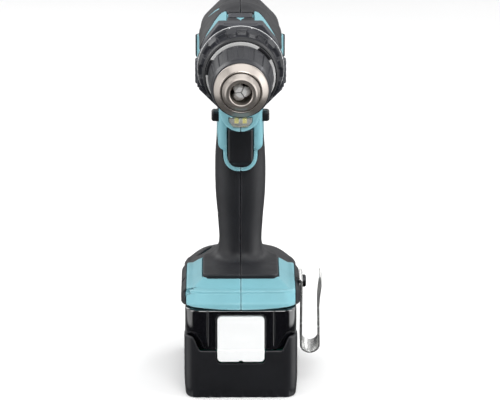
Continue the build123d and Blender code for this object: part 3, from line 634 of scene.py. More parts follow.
def openings(x, y, z):
    """Everything that is cut through the housing."""
    ax, h = np.abs(x), z - SPINDLE_Z
    lever_y, lever_z = (LEVER_LOW[1], LEVER_HIGH[1]), (LEVER_LOW[2], LEVER_HIGH[2])
    cuts = [
        soft_max(trigger_slot(x, z), span(y, -60, 4), 0.6),
        box3(x, y, z, (-40, lever_y[0] - 0.5, lever_z[0] - 0.5),
             (40, lever_y[1] + 0.5, lever_z[1] + 0.5), 1.6),
        box3(x, y, h, (-8.5, -20.2, 18), (8.5, -3.2, 40), 1.2),
        box3(x, y, z, (-20.9, -23.4, 40), (20.9, 55.4, 66), 0.5),
        lamp_window(x, y, z),
    ]
    for k in range(4):
        low = -16.6 + 3.4 * k
        cuts.append(box3(ax, y, h, (20, 45, low), (40, 58, low + 1.7), 0.8))
    for side_y, side_z, half in SCREW_SPOTS:
        reach = np.hypot(y - side_y, z - side_z)
        cuts.append(soft_max(reach - 3.15, x + half - 2.6, 0.4))
        cuts.append(meet(reach - 1.6, x + half - 9.0))
    hole = np.hypot(y - HOOK_Y, z - HOOK_Z)
    cuts.append(meet(hole - 1.75, 28 - x))
    cuts.append(meet(hole - 2.0, 28 + x))
    for dent_y, dent_z in ((7.0, 110.5), (4.5, 106.5)):
        cuts.append(np.hypot(np.hypot(x + 15.4, (y - dent_y) * 0.5), z - dent_z) - 1.5)
    return join(*cuts)


def trigger_slot(x, z):
    """The trigger's slot, seen from the front: square above, round below."""
    low, high = TRIGGER_LOW[2] - 0.6, TRIGGER_HIGH[2] + 0.6
    return soft_max(box2(x, z - (low + high + 14) / 2, 8.6, (high + 14 - low) / 2, 7.4), z - high, 0.5)


def lamp_window(x, y, z):
    """The lamp's window: wide at its top."""
    half = 4.6 + 2.9 * np.clip((z - LENS_LOW[2]) / 3.2, 0, 1)
    return meet(np.abs(x) - half - 0.15, span(y, -60, -28), span(z, LENS_LOW[2] - 0.3, LENS_HIGH[2] + 0.3))


def half_of(field, side):
    """One half of a field, split at the middle with a fine seam."""
    def cut(x, y, z):
        return soft_max(field(x, y, z), SEAM - side * x, 0.3)
    return cut


def teal_shell(x, y, z):
    """The hard teal shell, sunk where the overmould lies on it."""
    solid = outer_form(x, y, z)
    shell = soft_max(solid, -cavity(x, y, z), 0.3)
    covered = soft_max(dark_region(x, y, z) - 0.14, -(solid + SKIN), 0.3)
    shell = soft_max(shell, -covered, 0.5)
    return meet(shell, -openings(x, y, z))


def dark_shell(x, y, z):
    """The black overmould, a thin skin on the same outer form."""
    solid = outer_form(x, y, z)
    skin = soft_max(solid - 0.22, -(solid + SKIN - 0.1), 0.2)
    skin = soft_max(skin, dark_region(x, y, z), 0.55)
    ribs = back_ribs(x, y, z)
    bore = meet(np.hypot(x, z - SPINDLE_Z) - 24.7, span(y, -60, 90))
    bore = meet(bore, solid + 1.0)
    return meet(skin + ribs, -join(openings(x, y, z), bore))


def back_ribs(x, y, z):
    """How far the overmould is sunk by the shallow ripples on the back of the grip."""
    ripple = 0.5 - 0.5 * np.cos(2 * np.pi * z / 5.2)
    zone = ramp01(z, 92, 98) * ramp01(-z, -172, -166) * ramp01(y, 27, 33) * ramp01(-np.abs(x), -11, -7)
    return 0.5 * ripple * zone


def build_shells():
    step = 0.8
    low = (-FOOT_HALF, FOOT_FRONT - 1, FOOT_BOTTOM - 1)
    high = (FOOT_HALF, COVER_FRONT + 1, SPINDLE_Z + 29)
    for side, name in ((-1, "right"), (1, "left")):
        a = (0, low[1], low[2]) if side > 0 else low
        b = high if side > 0 else (0, high[1], high[2])
        teal = carve(f"shell_{name}", half_of(teal_shell, side), a, b, step, 0.45)
        finish_piece(teal, "teal", "body", "teal_plastic", f"housing_{name}")
        dark = carve(f"overmould_{name}", half_of(dark_shell, side), a, b, step, 0.5)
        finish_piece(dark, "skin", "body", "black_rubber", f"grip_{name}")


def screw_form(u, y, z):
    """A pan-head screw along an axis u that starts at its head, with a cross recess."""
    r = np.hypot(y, z)
    crown = np.sqrt(r * r + (u - 4.3) ** 2) - 4.3
    head = soft_max(meet(r - 2.9, u - 2.1), crown, 0.4)
    shank = meet(r - 1.42 - 0.1 * np.cos(2 * np.pi * u / 1.1), span(u, 1.0, 30.0))
    cross = join(meet(np.abs(y) - 0.42, np.abs(z) - 1.75), meet(np.abs(z) - 0.42, np.abs(y) - 1.75))
    return meet(join(head, shank), -meet(cross, u - 1.5))


def build_screws():
    """Screws across the housing, and two in the rear cover."""
    for k, (side_y, side_z, half) in enumerate(SCREW_SPOTS):
        def across(x, y, z, side_y=side_y, side_z=side_z, half=half):
            return meet(screw_form(x + half - 0.4, y - side_y, z - side_z), x - min(half - 6, 12))
        low, high = (-half, side_y - 3, side_z - 3), (min(half - 6, 12), side_y + 3, side_z + 3)
        screw = carve(f"housing_screw_{k + 1}", across, low, high, 0.3, 0.5)
        finish_piece(screw, "oxide", "body", "screw_steel", "housing_screws")
    for side in (-1, 1):
        def ahead(x, y, z, side=side):
            screw = screw_form(71.2 - y, x - side * COVER_SCREW_X, z - SPINDLE_Z + COVER_SCREW_DROP)
            return meet(screw, 63.0 - y)
        middle, z = side * COVER_SCREW_X, SPINDLE_Z - COVER_SCREW_DROP
        low, high = (middle - 3, 63, z - 3), (middle + 3, 71.5, z + 3)
        screw = carve(f"cover_screw_{'left' if side > 0 else 'right'}", ahead, low, high, 0.3, 0.5)
        finish_piece(screw, "oxide", "body", "screw_steel", "housing_screws")


def rear_cover_form(x, y, z):
    """The motor's cover: a slotted dome with two screw bosses."""
    h = z - SPINDLE_Z
    r = np.hypot(x, h)
    middle = COVER_FRONT - 20
    dome = box2(r, y - middle, 26.3, REAR_END - 0.2 - middle, 11.0)
    dome = soft_max(dome, plane(np.abs(x), h, 14.4 - 0.19 * (y - 62), 14.4 - 0.19 * (y - 62), 45), 1.2)
    dome = soft_max(dome, COVER_FRONT - y, 0.7)
    hollow = meet(box2(r, y - middle, 24.0, REAR_END - 3.0 - middle, 9.0), dome + 2.2)
    shell = meet(dome, -hollow)
    seat = meet(span(r, 6.6, 9.0), span(y, COVER_FRONT + 0.6, REAR_END - 2))
    shell = join(shell, seat)
    turn = np.degrees(np.arctan2(h, x)) % 30 - 15
    slot = meet(np.abs(turn) * np.radians(1) * r - 1.5, span(r, 12.5, 20.5))
    shell = soft_max(shell, -meet(slot, REAR_END - 9 - y), 0.5)
    ring = meet(np.abs(r - 23.4) - 0.45, REAR_END - 12 - y)
    shell = soft_max(shell, -meet(ring, dome * -1 - 0.6), 0.3)
    for side in (-1, 1):
        reach = np.hypot(x - side * COVER_SCREW_X, h + COVER_SCREW_DROP)
        shell = join(shell, meet(reach - 3.9, dome, COVER_FRONT - y))
        shell = meet(shell, -meet(reach - 3.1, 69.0 - y))
        shell = meet(shell, -(reach - 1.55))
    return shell


# ---------------------------------------------------------------- rings and chuck
def build_nose():
    """The nickel cap on the chuck's nose."""
    y = NOSE_Y
    cap = lathe("nose_cap", [
        (12.9, y + 5.7), (13.3, y + 5.55), (13.8, y + 5.75), (17.2, y + 9.9), (17.6, y + 10.7), (17.6, y + 11.5),
        (15.2, y + 11.5), (12.9, y + 8.0)], 256, 0.5)
    finish_piece(cap, "nickel", "chuck_sleeve", "nickel", "nose_ring")


def sleeve_shape(r, y, angle):
    """Flutes on the hand sleeve: flat-bottomed valleys between raised ribs."""
    phase = (angle * 18 / (2 * np.pi)) % 1
    valley = ramp01(0.5 - np.abs(phase - 0.5), 0.20, 0.28)
    along = ramp01(y, -98.6, -97.4) * ramp01(-y, 72.0, 73.4)
    outer = np.clip((r - 18.4) / 0.3, 0, 1)
    return r - 0.95 * valley * along * outer, y


def build_sleeve():
    """The chuck's hand sleeve."""
    y0 = cad_box("chuck_sleeve")[0][1]
    sleeve = lathe("hand_sleeve", [
        (16.9, y0), (17.9, y0), (18.35, y0 + 0.5), (18.7, y0 + 2.4), (19.35, y0 + 4.6), (19.6, y0 + 6.6),
        (21.2, -76.0), (21.3, -72.6), (20.9, -70.4), (20.6, -70.2), (18.0, -70.2), (18.0, -91.4), (16.9, -91.4)],
        540, 0.5, sleeve_shape)
    finish_piece(sleeve, "slate", "chuck_sleeve", "black_plastic", "chuck_sleeve")


def torque_shape(r, y, angle):
    """The torque ring's raised grips with a wavy front edge, and a pocket behind each wave."""
    phase = ((angle - math.radians(13)) * 12 / (2 * np.pi)) % 1
    away = np.abs(phase - 0.5) * 2
    wave = -60.4 + 3.4 * ramp01(1 - away, 0.30, 0.62)
    outer = np.clip((r - 22.0) / 0.6, 0, 1)
    low = 24.4 + 0.03 * (y + 66)
    sunk = r - np.clip((wave + 0.7 - y) / 0.8, 0, 1) * outer * np.maximum(r - low, 0)
    pocket = ramp01(1 - away, 0.42, 0.52) * ramp01(y, -56.2, -55.6) * ramp01(-y, 51.4, 52.0)
    return sunk - 1.1 * pocket * outer, y


def build_torque_ring():
    """The torque ring, its collar with three lugs and a white rear line."""
    ring = lathe("torque_ring_body", [
        (20.4, -66.2), (22.9, -66.2), (24.3, -65.9), (24.9, -62.0), (26.6, -60.6), (27.2, -57.0),
        (27.8, -52.0), (28.1, -48.6), (28.0, -47.2), (27.8, -47.0), (21.2, -47.0), (21.2, -65.0), (20.4, -65.0)],
        720, 0.4, torque_shape)
    finish_piece(ring, "slate", "torque_ring", "black_plastic", "torque_ring")
    collar = lathe("torque_collar", [
        (22.6, -67.6), (23.4, -67.6), (24.1, -67.0), (24.6, -65.6), (24.75, -63.2), (23.0, -63.2), (22.6, -66.0)],
        256, 0.6)
    finish_piece(collar, "black", "torque_ring", "black_plastic")
    for k in range(3):
        lug = carve_lug(f"front_lug_{k + 1}", math.radians(44 + 120 * k))
        finish_piece(lug, "black", "torque_ring", "black_plastic")
    line = lathe("edge_line", [(27.9, -47.75), (28.3, -47.75), (28.3, -46.95), (27.9, -46.95)], 360, 0.6)
    finish_piece(line, "ink", "torque_ring", "white_plastic")


def carve_lug(name, a):
    """One lug on the torque ring's front, at an angle round the spindle."""
    def field(x, y, z):
        h = z - SPINDLE_Z
        r = np.hypot(x, h)
        turn = np.abs((np.arctan2(h, x) - a + np.pi) % (2 * np.pi) - np.pi)
        return soft_max(meet(span(r, 19.7, 22.9), (turn - 0.23) * r), span(y, -69.4, -67.4), 0.3)
    x, h = 21.2 * math.cos(a), SPINDLE_Z + 21.2 * math.sin(a)
    return carve(name, field, (x - 6, -70, h - 6), (x + 6, -67, h + 6), 0.3)


def text_piece(name, words, size, angle, y, r):
    """A printed number that lies on the torque ring."""
    font = bpy.data.curves.new(name, "FONT")
    font.body = words
    font.size = size * MM
    font.extrude = 0.00006
    font.align_x = "CENTER"
    font.resolution_u = 3
    piece = bpy.data.objects.new(name, font)
    bpy.context.scene.collection.objects.link(piece)
    a = math.radians(angle)
    out = Vector((math.cos(a), 0, math.sin(a)))
    ahead = Vector((0, 1, 0))
    side = ahead.cross(out)
    rows = ((side.x, ahead.x, out.x, r * MM * out.x), (side.y, ahead.y, out.y, y * MM),
            (side.z, ahead.z, out.z, r * MM * out.z + SPINDLE_Z * MM), (0, 0, 0, 1))
    piece.matrix_world = [list(row) for row in rows]
    return piece


def build_ring_marks():
    """Numbers and ticks on the torque ring, in white ink."""
    for k in range(12):
        angle = 90 + 30 * k - 15
        tick = mark_block(f"tick_{k + 1}", angle, -49.6, -47.7, 0.7)
        finish_piece(tick, "ink", "torque_ring", "white_plastic")
        label = text_piece(f"number_{k + 1}", str(1 + 2 * k), 2.6, angle + 15, -51.2, 28.0)
        label.data.materials.append(MATERIALS["ink"])
        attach(label, "torque_ring")


def mark_block(name, angle, y0, y1, width):
    """A thin printed bar on the torque ring's rear band."""
    a = math.radians(angle)
    half = width / 2 / 28.0
    points, steps = [], 4
    for r in (27.75, 28.16):
        for y in (y0, y1):
            for k in range(steps + 1):
                t = a - half + 2 * half * k / steps
                points.append((r * math.cos(t), y, SPINDLE_Z + r * math.sin(t)))
    n = steps + 1
    faces = []
    for k in range(steps):
        faces.append((2 * n + k, 2 * n + k + 1, 3 * n + k + 1, 3 * n + k))
        faces.append((k + 1, k, n + k, n + k + 1))
        faces.append((k, k + 1, 2 * n + k + 1, 2 * n + k))
        faces.append((n + k + 1, n + k, 3 * n + k, 3 * n + k + 1))
    faces.append((0, 2 * n, 3 * n, n))
    faces.append((steps, n + steps, 3 * n + steps, 2 * n + steps))
    piece = make_mesh(name, points, [f[::-1] for f in faces])
    return piece


def mode_ring_form(x, y, z):
    """The mode ring: flat top and bottom, slanted facets, a grip block on each side."""
    ax, h = np.abs(x), z - SPINDLE_Z
    form = soft_max(h - 29.0, plane(ax, h, 14.3, 29.0, 38.0), 0.6)
    form = soft_max(form, plane(ax, h, 23.6, 17.2, 20.0), 0.6)
    form = soft_max(form, ax - 28.3, 0.6)
    form = soft_max(form, plane(ax, h, 21.0, -20.8, -45), 0.6)
    form = soft_max(form, -h - 28.2, 0.6)
    grip = box3(ax, y, h, (20, -45.2, -11.0), (29.7, -35.4, 4.5), 1.2)
    form = soft_min(form, grip, 0.5)
    form = meet(form, -box3(ax, y, h, (27.2, -47, -16.0), (32, -41.5, -13.2), 0.5))
    for k in range(3):
        low = -8.6 + 4.2 * k
        form = meet(form, -box3(ax, y, h, (29.1, -44.4, low), (31, -36.2, low + 1.3), 0.4))
    form = meet(form, -box3(x, y, h, (-11, -47, 28.5), (11, -43.6, 31), 0.3))
    form = soft_max(form, span(y, -46.1, HEAD_FRONT - 0.3), 0.9)
    return meet(form, 19.5 - np.hypot(x, h))


def arrow_form(x, y, z):
    """The pointer in front of the speed selector that the mode ring is read against."""
    h = z - SPINDLE_Z
    half = np.clip((y + 27.5) * 0.42, -1, 2.6)
    return meet(np.abs(x) - half, span(y, -27.4, -21.3), span(h, 26.6, 27.7))


def build_mode_ring():
    low, high = (-30, -46.5, SPINDLE_Z - 29), (30, -34, SPINDLE_Z + 29)
    ring = carve("mode_collar", mode_ring_form, low, high, 0.45, 0.4)
    finish_piece(ring, "grey", "mode_ring", "grey_plastic", "mode_ring")


# ---------------------------------------------------------------- controls and lamp
def trigger_form(x, y, z):
    """The trigger: a bowed push, hollow behind, and its stem."""
    low, high = TRIGGER_LOW[2], TRIGGER_HIGH[2]
    face = box2(x, z - (low + high + 12) / 2, 8.1, (high + 12 - low) / 2, 7.0)
    face = soft_max(face, z - high, 0.8)
    t = (z - low) / (high - low)
    front = TRIGGER_LOW[1] + 0.25 + 1.0 * np.sin(np.pi * np.clip(t, 0, 1)) ** 2 * 0.8
    front = front + 5.5 * np.clip(0.22 - t, 0, 1) ** 2 / 0.0484 * 0.9 + 0.022 * x * x
    push = soft_max(face, meet(front - y, y + 8.0), 1.4)
    hollow = meet(box2(x, z - (low + high) / 2, 6.4, (high - low) / 2 - 2, 5), front + 2.2 - y, y + 7)
    push = meet(push, -meet(hollow, -y - 13.0))
    stem = meet(np.hypot(x, z - 161.0) - 2.95, span(y, -12, 8.0))
    return join(push, stem)


def lever_form(x, y, z):
    """The reversing lever: a bar with a dish at each end."""
    low, high = LEVER_LOW, LEVER_HIGH
    bar = box3(x, y, z, low, high, 1.9)
    middle_y, middle_z = (low[1] + high[1]) / 2, (low[2] + high[2]) / 2
    dish = np.sqrt((y - middle_y) ** 2 + (z - middle_z) ** 2 + (np.abs(x) - high[0] - 5.2) ** 2) - 6.1
    return soft_max(bar, -dish, 0.5)


def selector_form(x, y, z):
    """The speed selector: a ribbed knob and the finger below it."""
    low, high = cad_box("speed_selector")
    h = z - SPINDLE_Z
    knob = box3(x, y, h, (-8, low[1], 24.7), (8, low[1] + 9.0, 28.3), 1.0)
    ridge = box3(x, y, h, (-6.6, low[1] + 1.2, 26), (6.6, low[1] + 3.6, 29.2), 0.9)
    knob = soft_min(knob, ridge, 0.8)
    for k in range(3):
        rib = box3(x, y, h, (-5.5, low[1] + 4.6 + 1.4 * k, 27.8), (5.5, low[1] + 5.2 + 1.4 * k, 30), 0.25)
        knob = meet(knob, -rib)
    finger = box3(x, y, h, (-2.6, -10.9, 20.8), (2.6, -9.7, 26), 0.2)
    return join(knob, finger)


def lens_form(x, y, z):
    """The lamp's cover, wide at its top."""
    half = 4.8 + 2.5 * np.clip((z - LENS_LOW[2]) / 3.2, 0, 1)
    form = soft_max(np.abs(x) - half, span(z, LENS_LOW[2], LENS_HIGH[2]), 0.8)
    bow = LENS_LOW[1] + 0.4 + 0.02 * x * x
    return soft_max(form, meet(bow - y, y - LENS_HIGH[1]), 0.8)


def build_controls():
    trigger = carve("trigger_push", trigger_form, TRIGGER_LOW, TRIGGER_HIGH, 0.4, 0.6)
    finish_piece(trigger, "black", "trigger", "black_plastic", "trigger")
    lever = carve("lever_bar", lever_form, LEVER_LOW, LEVER_HIGH, 0.35, 0.5)
    finish_piece(lever, "black", "reversing_lever", "black_plastic", "reversing_lever")
    low, high = cad_box("speed_selector")
    knob = carve("selector_knob", selector_form, low, high, 0.3, 0.5)
    finish_piece(knob, "grey", "speed_selector", "grey_plastic", "speed_selector")
    lens = carve("lamp_lens", lens_form, LENS_LOW, LENS_HIGH, 0.3, 0.6)
    finish_piece(lens, "lens", "body", "clear_lens", "led_lens")
    low, high = (-3.5, -28.5, SPINDLE_Z + 26.3), (3.5, -20.5, SPINDLE_Z + 28)
    arrow = carve("mode_arrow", arrow_form, low, high, 0.25, 1)
    finish_piece(arrow, "teal", "body", "teal_plastic")
    board_low, board_high = cad_box("led_board")
    for side in (-1, 1):
        x, z = side * 2.5, (board_low[2] + board_high[2]) / 2
        y = board_low[1] - 0.5
        def chip(px, py, pz, x=x, y=y, z=z):
            return box3(px, py, pz, (x - 1.3, y, z - 1.3), (x + 1.3, board_low[1] - 0.02, z + 1.3), 0.15)
        low, high = (x - 1.5, y - 0.1, z - 1.5), (x + 1.5, y + 0.7, z + 1.5)
        led = carve(f"led_{'left' if side > 0 else 'right'}", chip, low, high, 0.12, 1)
        finish_piece(led, "led", "body", "clear_lens")


# ---------------------------------------------------------------- battery and hook
def pocket(x, y, z):
    """The space that the release button slides in."""
    low, high = cad_box("release_button")
    half = high[0] + 0.45
    plan = box2(x, z - (low[2] + high[2]) / 2 + 0.5, half, (high[2] - low[2]) / 2 + 1.1, 2.9)
    return meet(plan, y + 52.4)


def pack_form(x, y, z):
    """Outline of the battery's upper half; its front corners are cut back towards their lower ends."""
    plan = box2(x, y, CASE_HIGH[0], CASE_HIGH[1], 9.5)
    corner = (np.abs(x) - y) * math.sqrt(0.5) - 57.0 - 8.0 * ramp01(z, 33, 56)
    return soft_max(plan, corner, 4.0)


def tray_line(x, y):
    """Height of the joint between the two halves, raised at the front corners."""
    return TRAY_HIGH[2] + EAR * ramp01(np.abs(x), 26.5, 32.5) * ramp01(-y, 30, 42)


def case_form(x, y, z):
    """The battery's upper half, hollow, with the rail channel and side recesses."""
    form = soft_max(pack_form(x, y, z), span(z, CASE_LOW[2], CASE_HIGH[2]), 2.0)
    groove = meet(np.abs(np.abs(x) - 22.0) - 0.25, y + CASE_HIGH[1] - 0.5)
    form = soft_max(form, -meet(groove, span(z, 36, 70)), 0.3)
    half, length = CASE_HIGH[0] - WALL, CASE_HIGH[1] - WALL
    inner = meet(box2(x, y - 1.5, half, length - 1.5, 7), span(z, 20, 48.6))
    inner = meet(inner, pack_form(x, y, z) + WALL)
    channel = meet(np.abs(x) - 17.6, -26 - y, RAIL_FLOOR - z)
    undercut = meet(np.abs(x) - 22.0, -26 - y, span(z, RAIL_FLOOR, RAIL_FLOOR + 5))
    form = meet(form, -join(inner, channel, undercut))
    for k in range(4):
        side_y = -28 + 15 * k
        rib = box3(np.abs(x), y, z, (CASE_HIGH[0] - 0.5, side_y, 39),
                   (CASE_HIGH[0] + 2, side_y + 11, 54), 0.4)
        form = soft_max(form, -rib, 0.4)
    return meet(form, -pocket(x, y, z))


def tray_form(x, y, z):
    """The battery's lower half, hollow, with ears at its front corners."""
    half, length = TRAY_HIGH[0], TRAY_HIGH[1]
    rib = np.abs(np.abs(x) - 15.2) - 1.7
    rib = join(rib, np.abs(np.abs(x) - 22.2) - 1.5, np.abs(np.abs(x) - 30.4) - 1.7)
    across = np.abs((y / 13.0) % 1 - 0.5) * 13.0 - 1.7 + 60 * (np.abs(x) < half - 4)
    rib = join(rib, np.abs(x) - 0.9, across)
    sunk = 0.4 * ramp01(-z, -6.5, -2.5) * ramp01(rib, -0.4, 0.8)
    draw = 0.9 * np.clip((15 - z) / 15, 0, 1) ** 1.4
    plan = box2(x, y, half, length, 9.0) + draw + sunk
    form = soft_max(soft_max(plan, z - tray_line(x, y) + 0.05, 0.9), -z, 1.0)
    inner = meet(box2(x, y, half - WALL, length - WALL, 7), WALL - z)
    ear = meet(box2(x, y, half - 5.4, length - 1.6, 6), TRAY_HIGH[2] - 1 - z)
    form = soft_max(form, -join(inner, ear), 0.4)
    for sx in (-1, 1):
        for sy in (-1, 1):
            screw = np.hypot(x - sx * 30, y - sy * 48)
            form = meet(form, -meet(screw - 3.2, z - 1.6))
    return meet(form, -pocket(x, y, z))


def button_form(x, y, z):
    """The release button: a plate with a lip and a shallow dish."""
    low, high = cad_box("release_button")
    half = high[0] - 0.05
    plan = box2(x, z - (low[2] + high[2]) / 2, half, (high[2] - low[2]) / 2, 2.8)
    plate = soft_max(plan, meet(span(y, -58.6, -54.4), 31.9 - z), 0.7)
    lip = soft_max(plan, meet(span(y, low[1] + 0.05, -57.9), z - 33.8), 0.8)
    button = soft_min(plate, lip, 0.7)
    button = meet(button, -meet(np.abs(x) - 1.2, z - low[2] - 0.8))
    dish = np.sqrt(x * x * 0.35 + (y + 80.0) ** 2 + (z - 46) ** 2) - 22.0
    return soft_max(button, -dish, 0.5)


def hook_path():
    """The strip's middle line: x outwards, height along the strip from its screw."""
    x_in, radius, low = 40.6, 6.0, -53.2
    x_out, bend = x_in + 2 * radius, low + radius
    points = [(35.2, 5.4), (39.4, 5.4), (x_in, 4.2), (x_in, bend)]
    for t in np.linspace(0, math.pi, 15)[1:-1]:
        points.append((x_in + radius - radius * math.cos(t), bend - radius * math.sin(t)))
    points += [(x_out, bend), (x_out - 0.7, -16), (x_out - 0.2, -8), (x_out + 0.8, 1.0), (x_out + 0.3, 6.0)]
    return points


def hook_form(x, y, z):
    """The belt hook: a bent strip that leans back from its screw."""
    tilt = math.radians(17)
    dy, dz = y - HOOK_Y, z - HOOK_Z
    across = dy * math.cos(tilt) + dz * math.sin(tilt)
    along = -dy * math.sin(tilt) + dz * math.cos(tilt)
    best = None
    points = hook_path()
    for (x0, s0), (x1, s1) in zip(points, points[1:]):
        dx, ds = x1 - x0, s1 - s0
        t = np.clip(((x - x0) * dx + (along - s0) * ds) / (dx * dx + ds * ds), 0, 1)
        d = np.hypot(x - x0 - t * dx, along - s0 - t * ds)
        best = d if best is None else join(best, d)
    width = 7.45 - 1.6 * np.clip((along + 6) / 12, 0, 1) ** 2 * (x > 46)
    strip = soft_max(best - 0.78, np.abs(across) - width, 0.5)
    hole = meet(np.hypot(dy, dz) - 2.2, x - 44)
    return meet(strip, -hole)


def build_spring():
    """The release button's coil spring."""
    low, high = cad_box("latch_spring")
    wire, turns, around, per_turn = 0.28, 4, 8, 24
    radius, middle_y = (high[0] - low[0]) / 2 - wire, (low[1] + high[1]) / 2
    t = np.linspace(0, 2 * np.pi * turns, turns * per_turn + 1)[:, None]
    lift = low[2] + wire + (high[2] - low[2] - 2 * wire) * t / t[-1]
    a = np.linspace(0, 2 * np.pi, around, endpoint=False)[None, :]
    reach = radius + wire * np.cos(a)
    points = np.stack([reach * np.cos(t), middle_y + reach * np.sin(t), lift + wire * np.sin(a)], -1)
    i, j = np.meshgrid(np.arange(len(t) - 1), np.arange(around), indexing="ij")
    j2 = (j + 1) % around
    quads = np.stack([i * around + j, i * around + j2, (i + 1) * around + j2, (i + 1) * around + j], -1)
    spring = make_mesh("button_spring", points.reshape(-1, 3), quads.reshape(-1, 4))
    spring.data.polygons.foreach_set("use_smooth", np.ones(len(spring.data.polygons), bool))
    finish_piece(spring, "steel", "battery", "steel", "latch_spring")
    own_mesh(spring)


def build_battery():
    case = carve("pack_upper", case_form, CASE_LOW, CASE_HIGH, 0.6, 0.45)
    finish_piece(case, "gloss", "battery", "gloss_black", "battery_case")
    high = (TRAY_HIGH[0], TRAY_HIGH[1], TRAY_HIGH[2] + EAR + 1)
    tray = carve("pack_lower", tray_form, TRAY_LOW, high, 0.6, 0.45)
    finish_piece(tray, "black", "battery", "black_plastic", "battery_tray")
    low, high = cad_box("release_button")
    button = carve("release_plate", button_form, low, high, 0.4, 0.6)
    finish_piece(button, "white", "release_button", "white_plastic", "release_button")
    low, high = cad_box("belt_hook")
    hook = carve("hook_strip", hook_form, low, high, 0.35, 0.5)
    finish_piece(hook, "chrome", "body", "hook_steel", "belt_hook")


# ---------------------------------------------------------------- CAD nodes that stay
KEPT = {
    "oxide": ("hook_screw", "chuck_screw"),
    "alloy": ("gear_housing", "motor_plate"),
    "nickel": ("chuck_body",),
    "bright": ("ring_retainer",),
    "jaw": ("jaw_1", "jaw_2", "jaw_3"),
    "black": ("switch_body", "terminal_block", "cooling_fan"),
    "board": ("motor_board",),
    "pale_board": ("led_board",),
    "copper": ("stator_coils", "contact_blades", "battery_terminals"),
    "wrap": ("battery_cells",),
}


def dress_cad():
    """Procedural materials for the CAD nodes that are shown as they are."""
    chosen = {node: key for key, nodes in KEPT.items() for node in nodes}
    for name, node in NODES.items():
        node.data.materials.clear()
        node.data.materials.append(MATERIALS[chosen.get(name, "steel")])


# ---------------------------------------------------------------- room, lights and camera
def build_room():
    """A wide pale floor. It isn't mirrored in the tool, as when a studio table is masked off."""
    half = 7.0
    mesh = bpy.data.meshes.new("floor")
    corners = [(-half, -half, 0), (half, -half, 0), (half, half, 0), (-half, half, 0)]
    mesh.from_pydata(corners, [], [(0, 1, 2, 3)])
    floor = bpy.data.objects.new("floor", mesh)
    bpy.context.scene.collection.objects.link(floor)
    floor.visible_glossy = False
    material, tree, shader, where = new_material("pale_paper")
    tint = ramp(tree, noise(tree, where, 4, 2), [(0.3, 0.92), (0.7, 0.94)])
    tree.links.new(tint, shader.inputs["Base Color"])
    shader.inputs["Roughness"].default_value = 0.9
    mesh.materials.append(material)


def area_light(name, place, target, width, height, power):
    light = bpy.data.lights.new(name, "AREA")
    light.shape = "RECTANGLE"
    light.size, light.size_y = width, height
    light.energy = power
    lamp = bpy.data.objects.new(name, light)
    bpy.context.scene.collection.objects.link(lamp)
    lamp.location = place
    lamp.rotation_euler = (Vector(target) - Vector(place)).to_track_quat("-Z", "Y").to_euler()


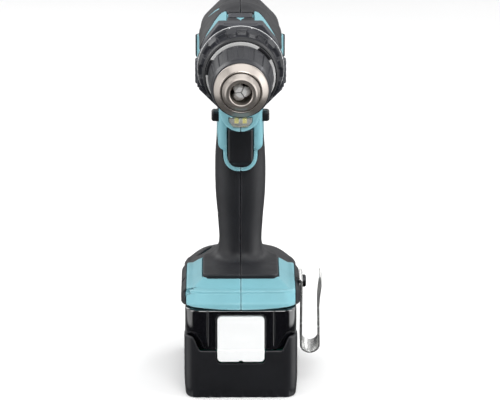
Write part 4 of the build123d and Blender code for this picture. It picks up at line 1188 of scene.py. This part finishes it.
def build_lights():
    """A pale surround, darker below and towards the front, with bright walls at both sides."""
    world = bpy.context.scene.world or bpy.data.worlds.new("studio")
    bpy.context.scene.world = world
    world.use_nodes = True
    tree = world.node_tree
    place = tree.nodes.new("ShaderNodeTexCoord").outputs["Generated"]
    lean = tree.nodes.new("ShaderNodeVectorMath")
    lean.operation = "DOT_PRODUCT"
    lean.inputs[1].default_value = (0.0, 0.28, 0.47)
    tree.links.new(place, lean.inputs[0])
    rise = tree.nodes.new("ShaderNodeMath")
    rise.operation = "ADD"
    rise.inputs[1].default_value = 0.5
    tree.links.new(lean.outputs["Value"], rise.inputs[0])
    tint = ramp(tree, rise.outputs["Value"], [(0.06, 0.015), (0.36, 0.05), (0.56, 0.32), (0.88, 0.85)])
    split = tree.nodes.new("ShaderNodeSeparateXYZ")
    tree.links.new(place, split.inputs["Vector"])
    aside = tree.nodes.new("ShaderNodeMath")
    aside.operation = "ABSOLUTE"
    tree.links.new(split.outputs["X"], aside.inputs[0])
    wall = ramp(tree, aside.outputs["Value"], [(0.82, 0.0), (0.90, 1.0)])
    right = ramp(tree, split.outputs["X"], [(0.3, 0.0), (0.4, 1.0)])
    sides = mix(tree, right, (2.0, 2.0, 2.0), (3.0, 3.0, 3.0))
    tint = mix(tree, wall, tint, sides)
    tree.links.new(tint, tree.nodes["Background"].inputs["Color"])
    tree.nodes["Background"].inputs["Strength"].default_value = 0.62
    middle = (0, 0, 0.13)
    for name, place, width, height, power in (
            ("top", (0.05, -0.1, 1.45), 1.6, 1.6, 12),
            ("left_box", (-1.0, -0.45, 0.6), 0.5, 1.1, 3.5),
            ("right_box", (1.0, -0.25, 0.6), 0.5, 1.1, 4),
            ("rear_left", (-0.8, 0.9, 0.8), 0.5, 0.8, 4),
            ("rear_right", (0.9, 0.9, 0.9), 0.5, 0.8, 3),
            ("front_fill", (0.25, -1.3, 1.15), 0.8, 0.8, 12)):
        area_light(name, place, middle, width, height, power)


def build_camera():
    """A long lens, a little above the tool and almost straight in front of it."""
    azimuth, elevation, distance = math.radians(-0.4), math.radians(16.0), 2.6
    target = Vector((0.0062, -0.030, 0.1289))
    back = Vector((math.sin(azimuth) * math.cos(elevation), -math.cos(azimuth) * math.cos(elevation),
                   math.sin(elevation)))
    data = bpy.data.cameras.new("camera")
    camera = bpy.data.objects.new("camera", data)
    bpy.context.scene.collection.objects.link(camera)
    camera.location = target + back * distance
    camera.rotation_euler = (-back).to_track_quat("-Z", "Y").to_euler()
    data.sensor_width = 36.0
    width_at_target = 0.3305
    data.lens = data.sensor_width * distance / width_at_target
    data.clip_start, data.clip_end = 0.05, 20
    bpy.context.scene.camera = camera
    bpy.context.scene.view_settings.view_transform = "Standard"


def main():
    build_room()
    build_lights()
    build_camera()
    dress_cad()
    build_shells()
    low, high = (-28, 61, SPINDLE_Z - 28), (28, REAR_END + 1, SPINDLE_Z + 28)
    cover = carve("motor_cover", rear_cover_form, low, high, 0.6, 0.45)
    finish_piece(cover, "black", "body", "black_plastic", "rear_cover")
    build_screws()
    build_nose()
    build_sleeve()
    build_torque_ring()
    build_ring_marks()
    build_mode_ring()
    build_controls()
    build_battery()
    build_spring()


main()
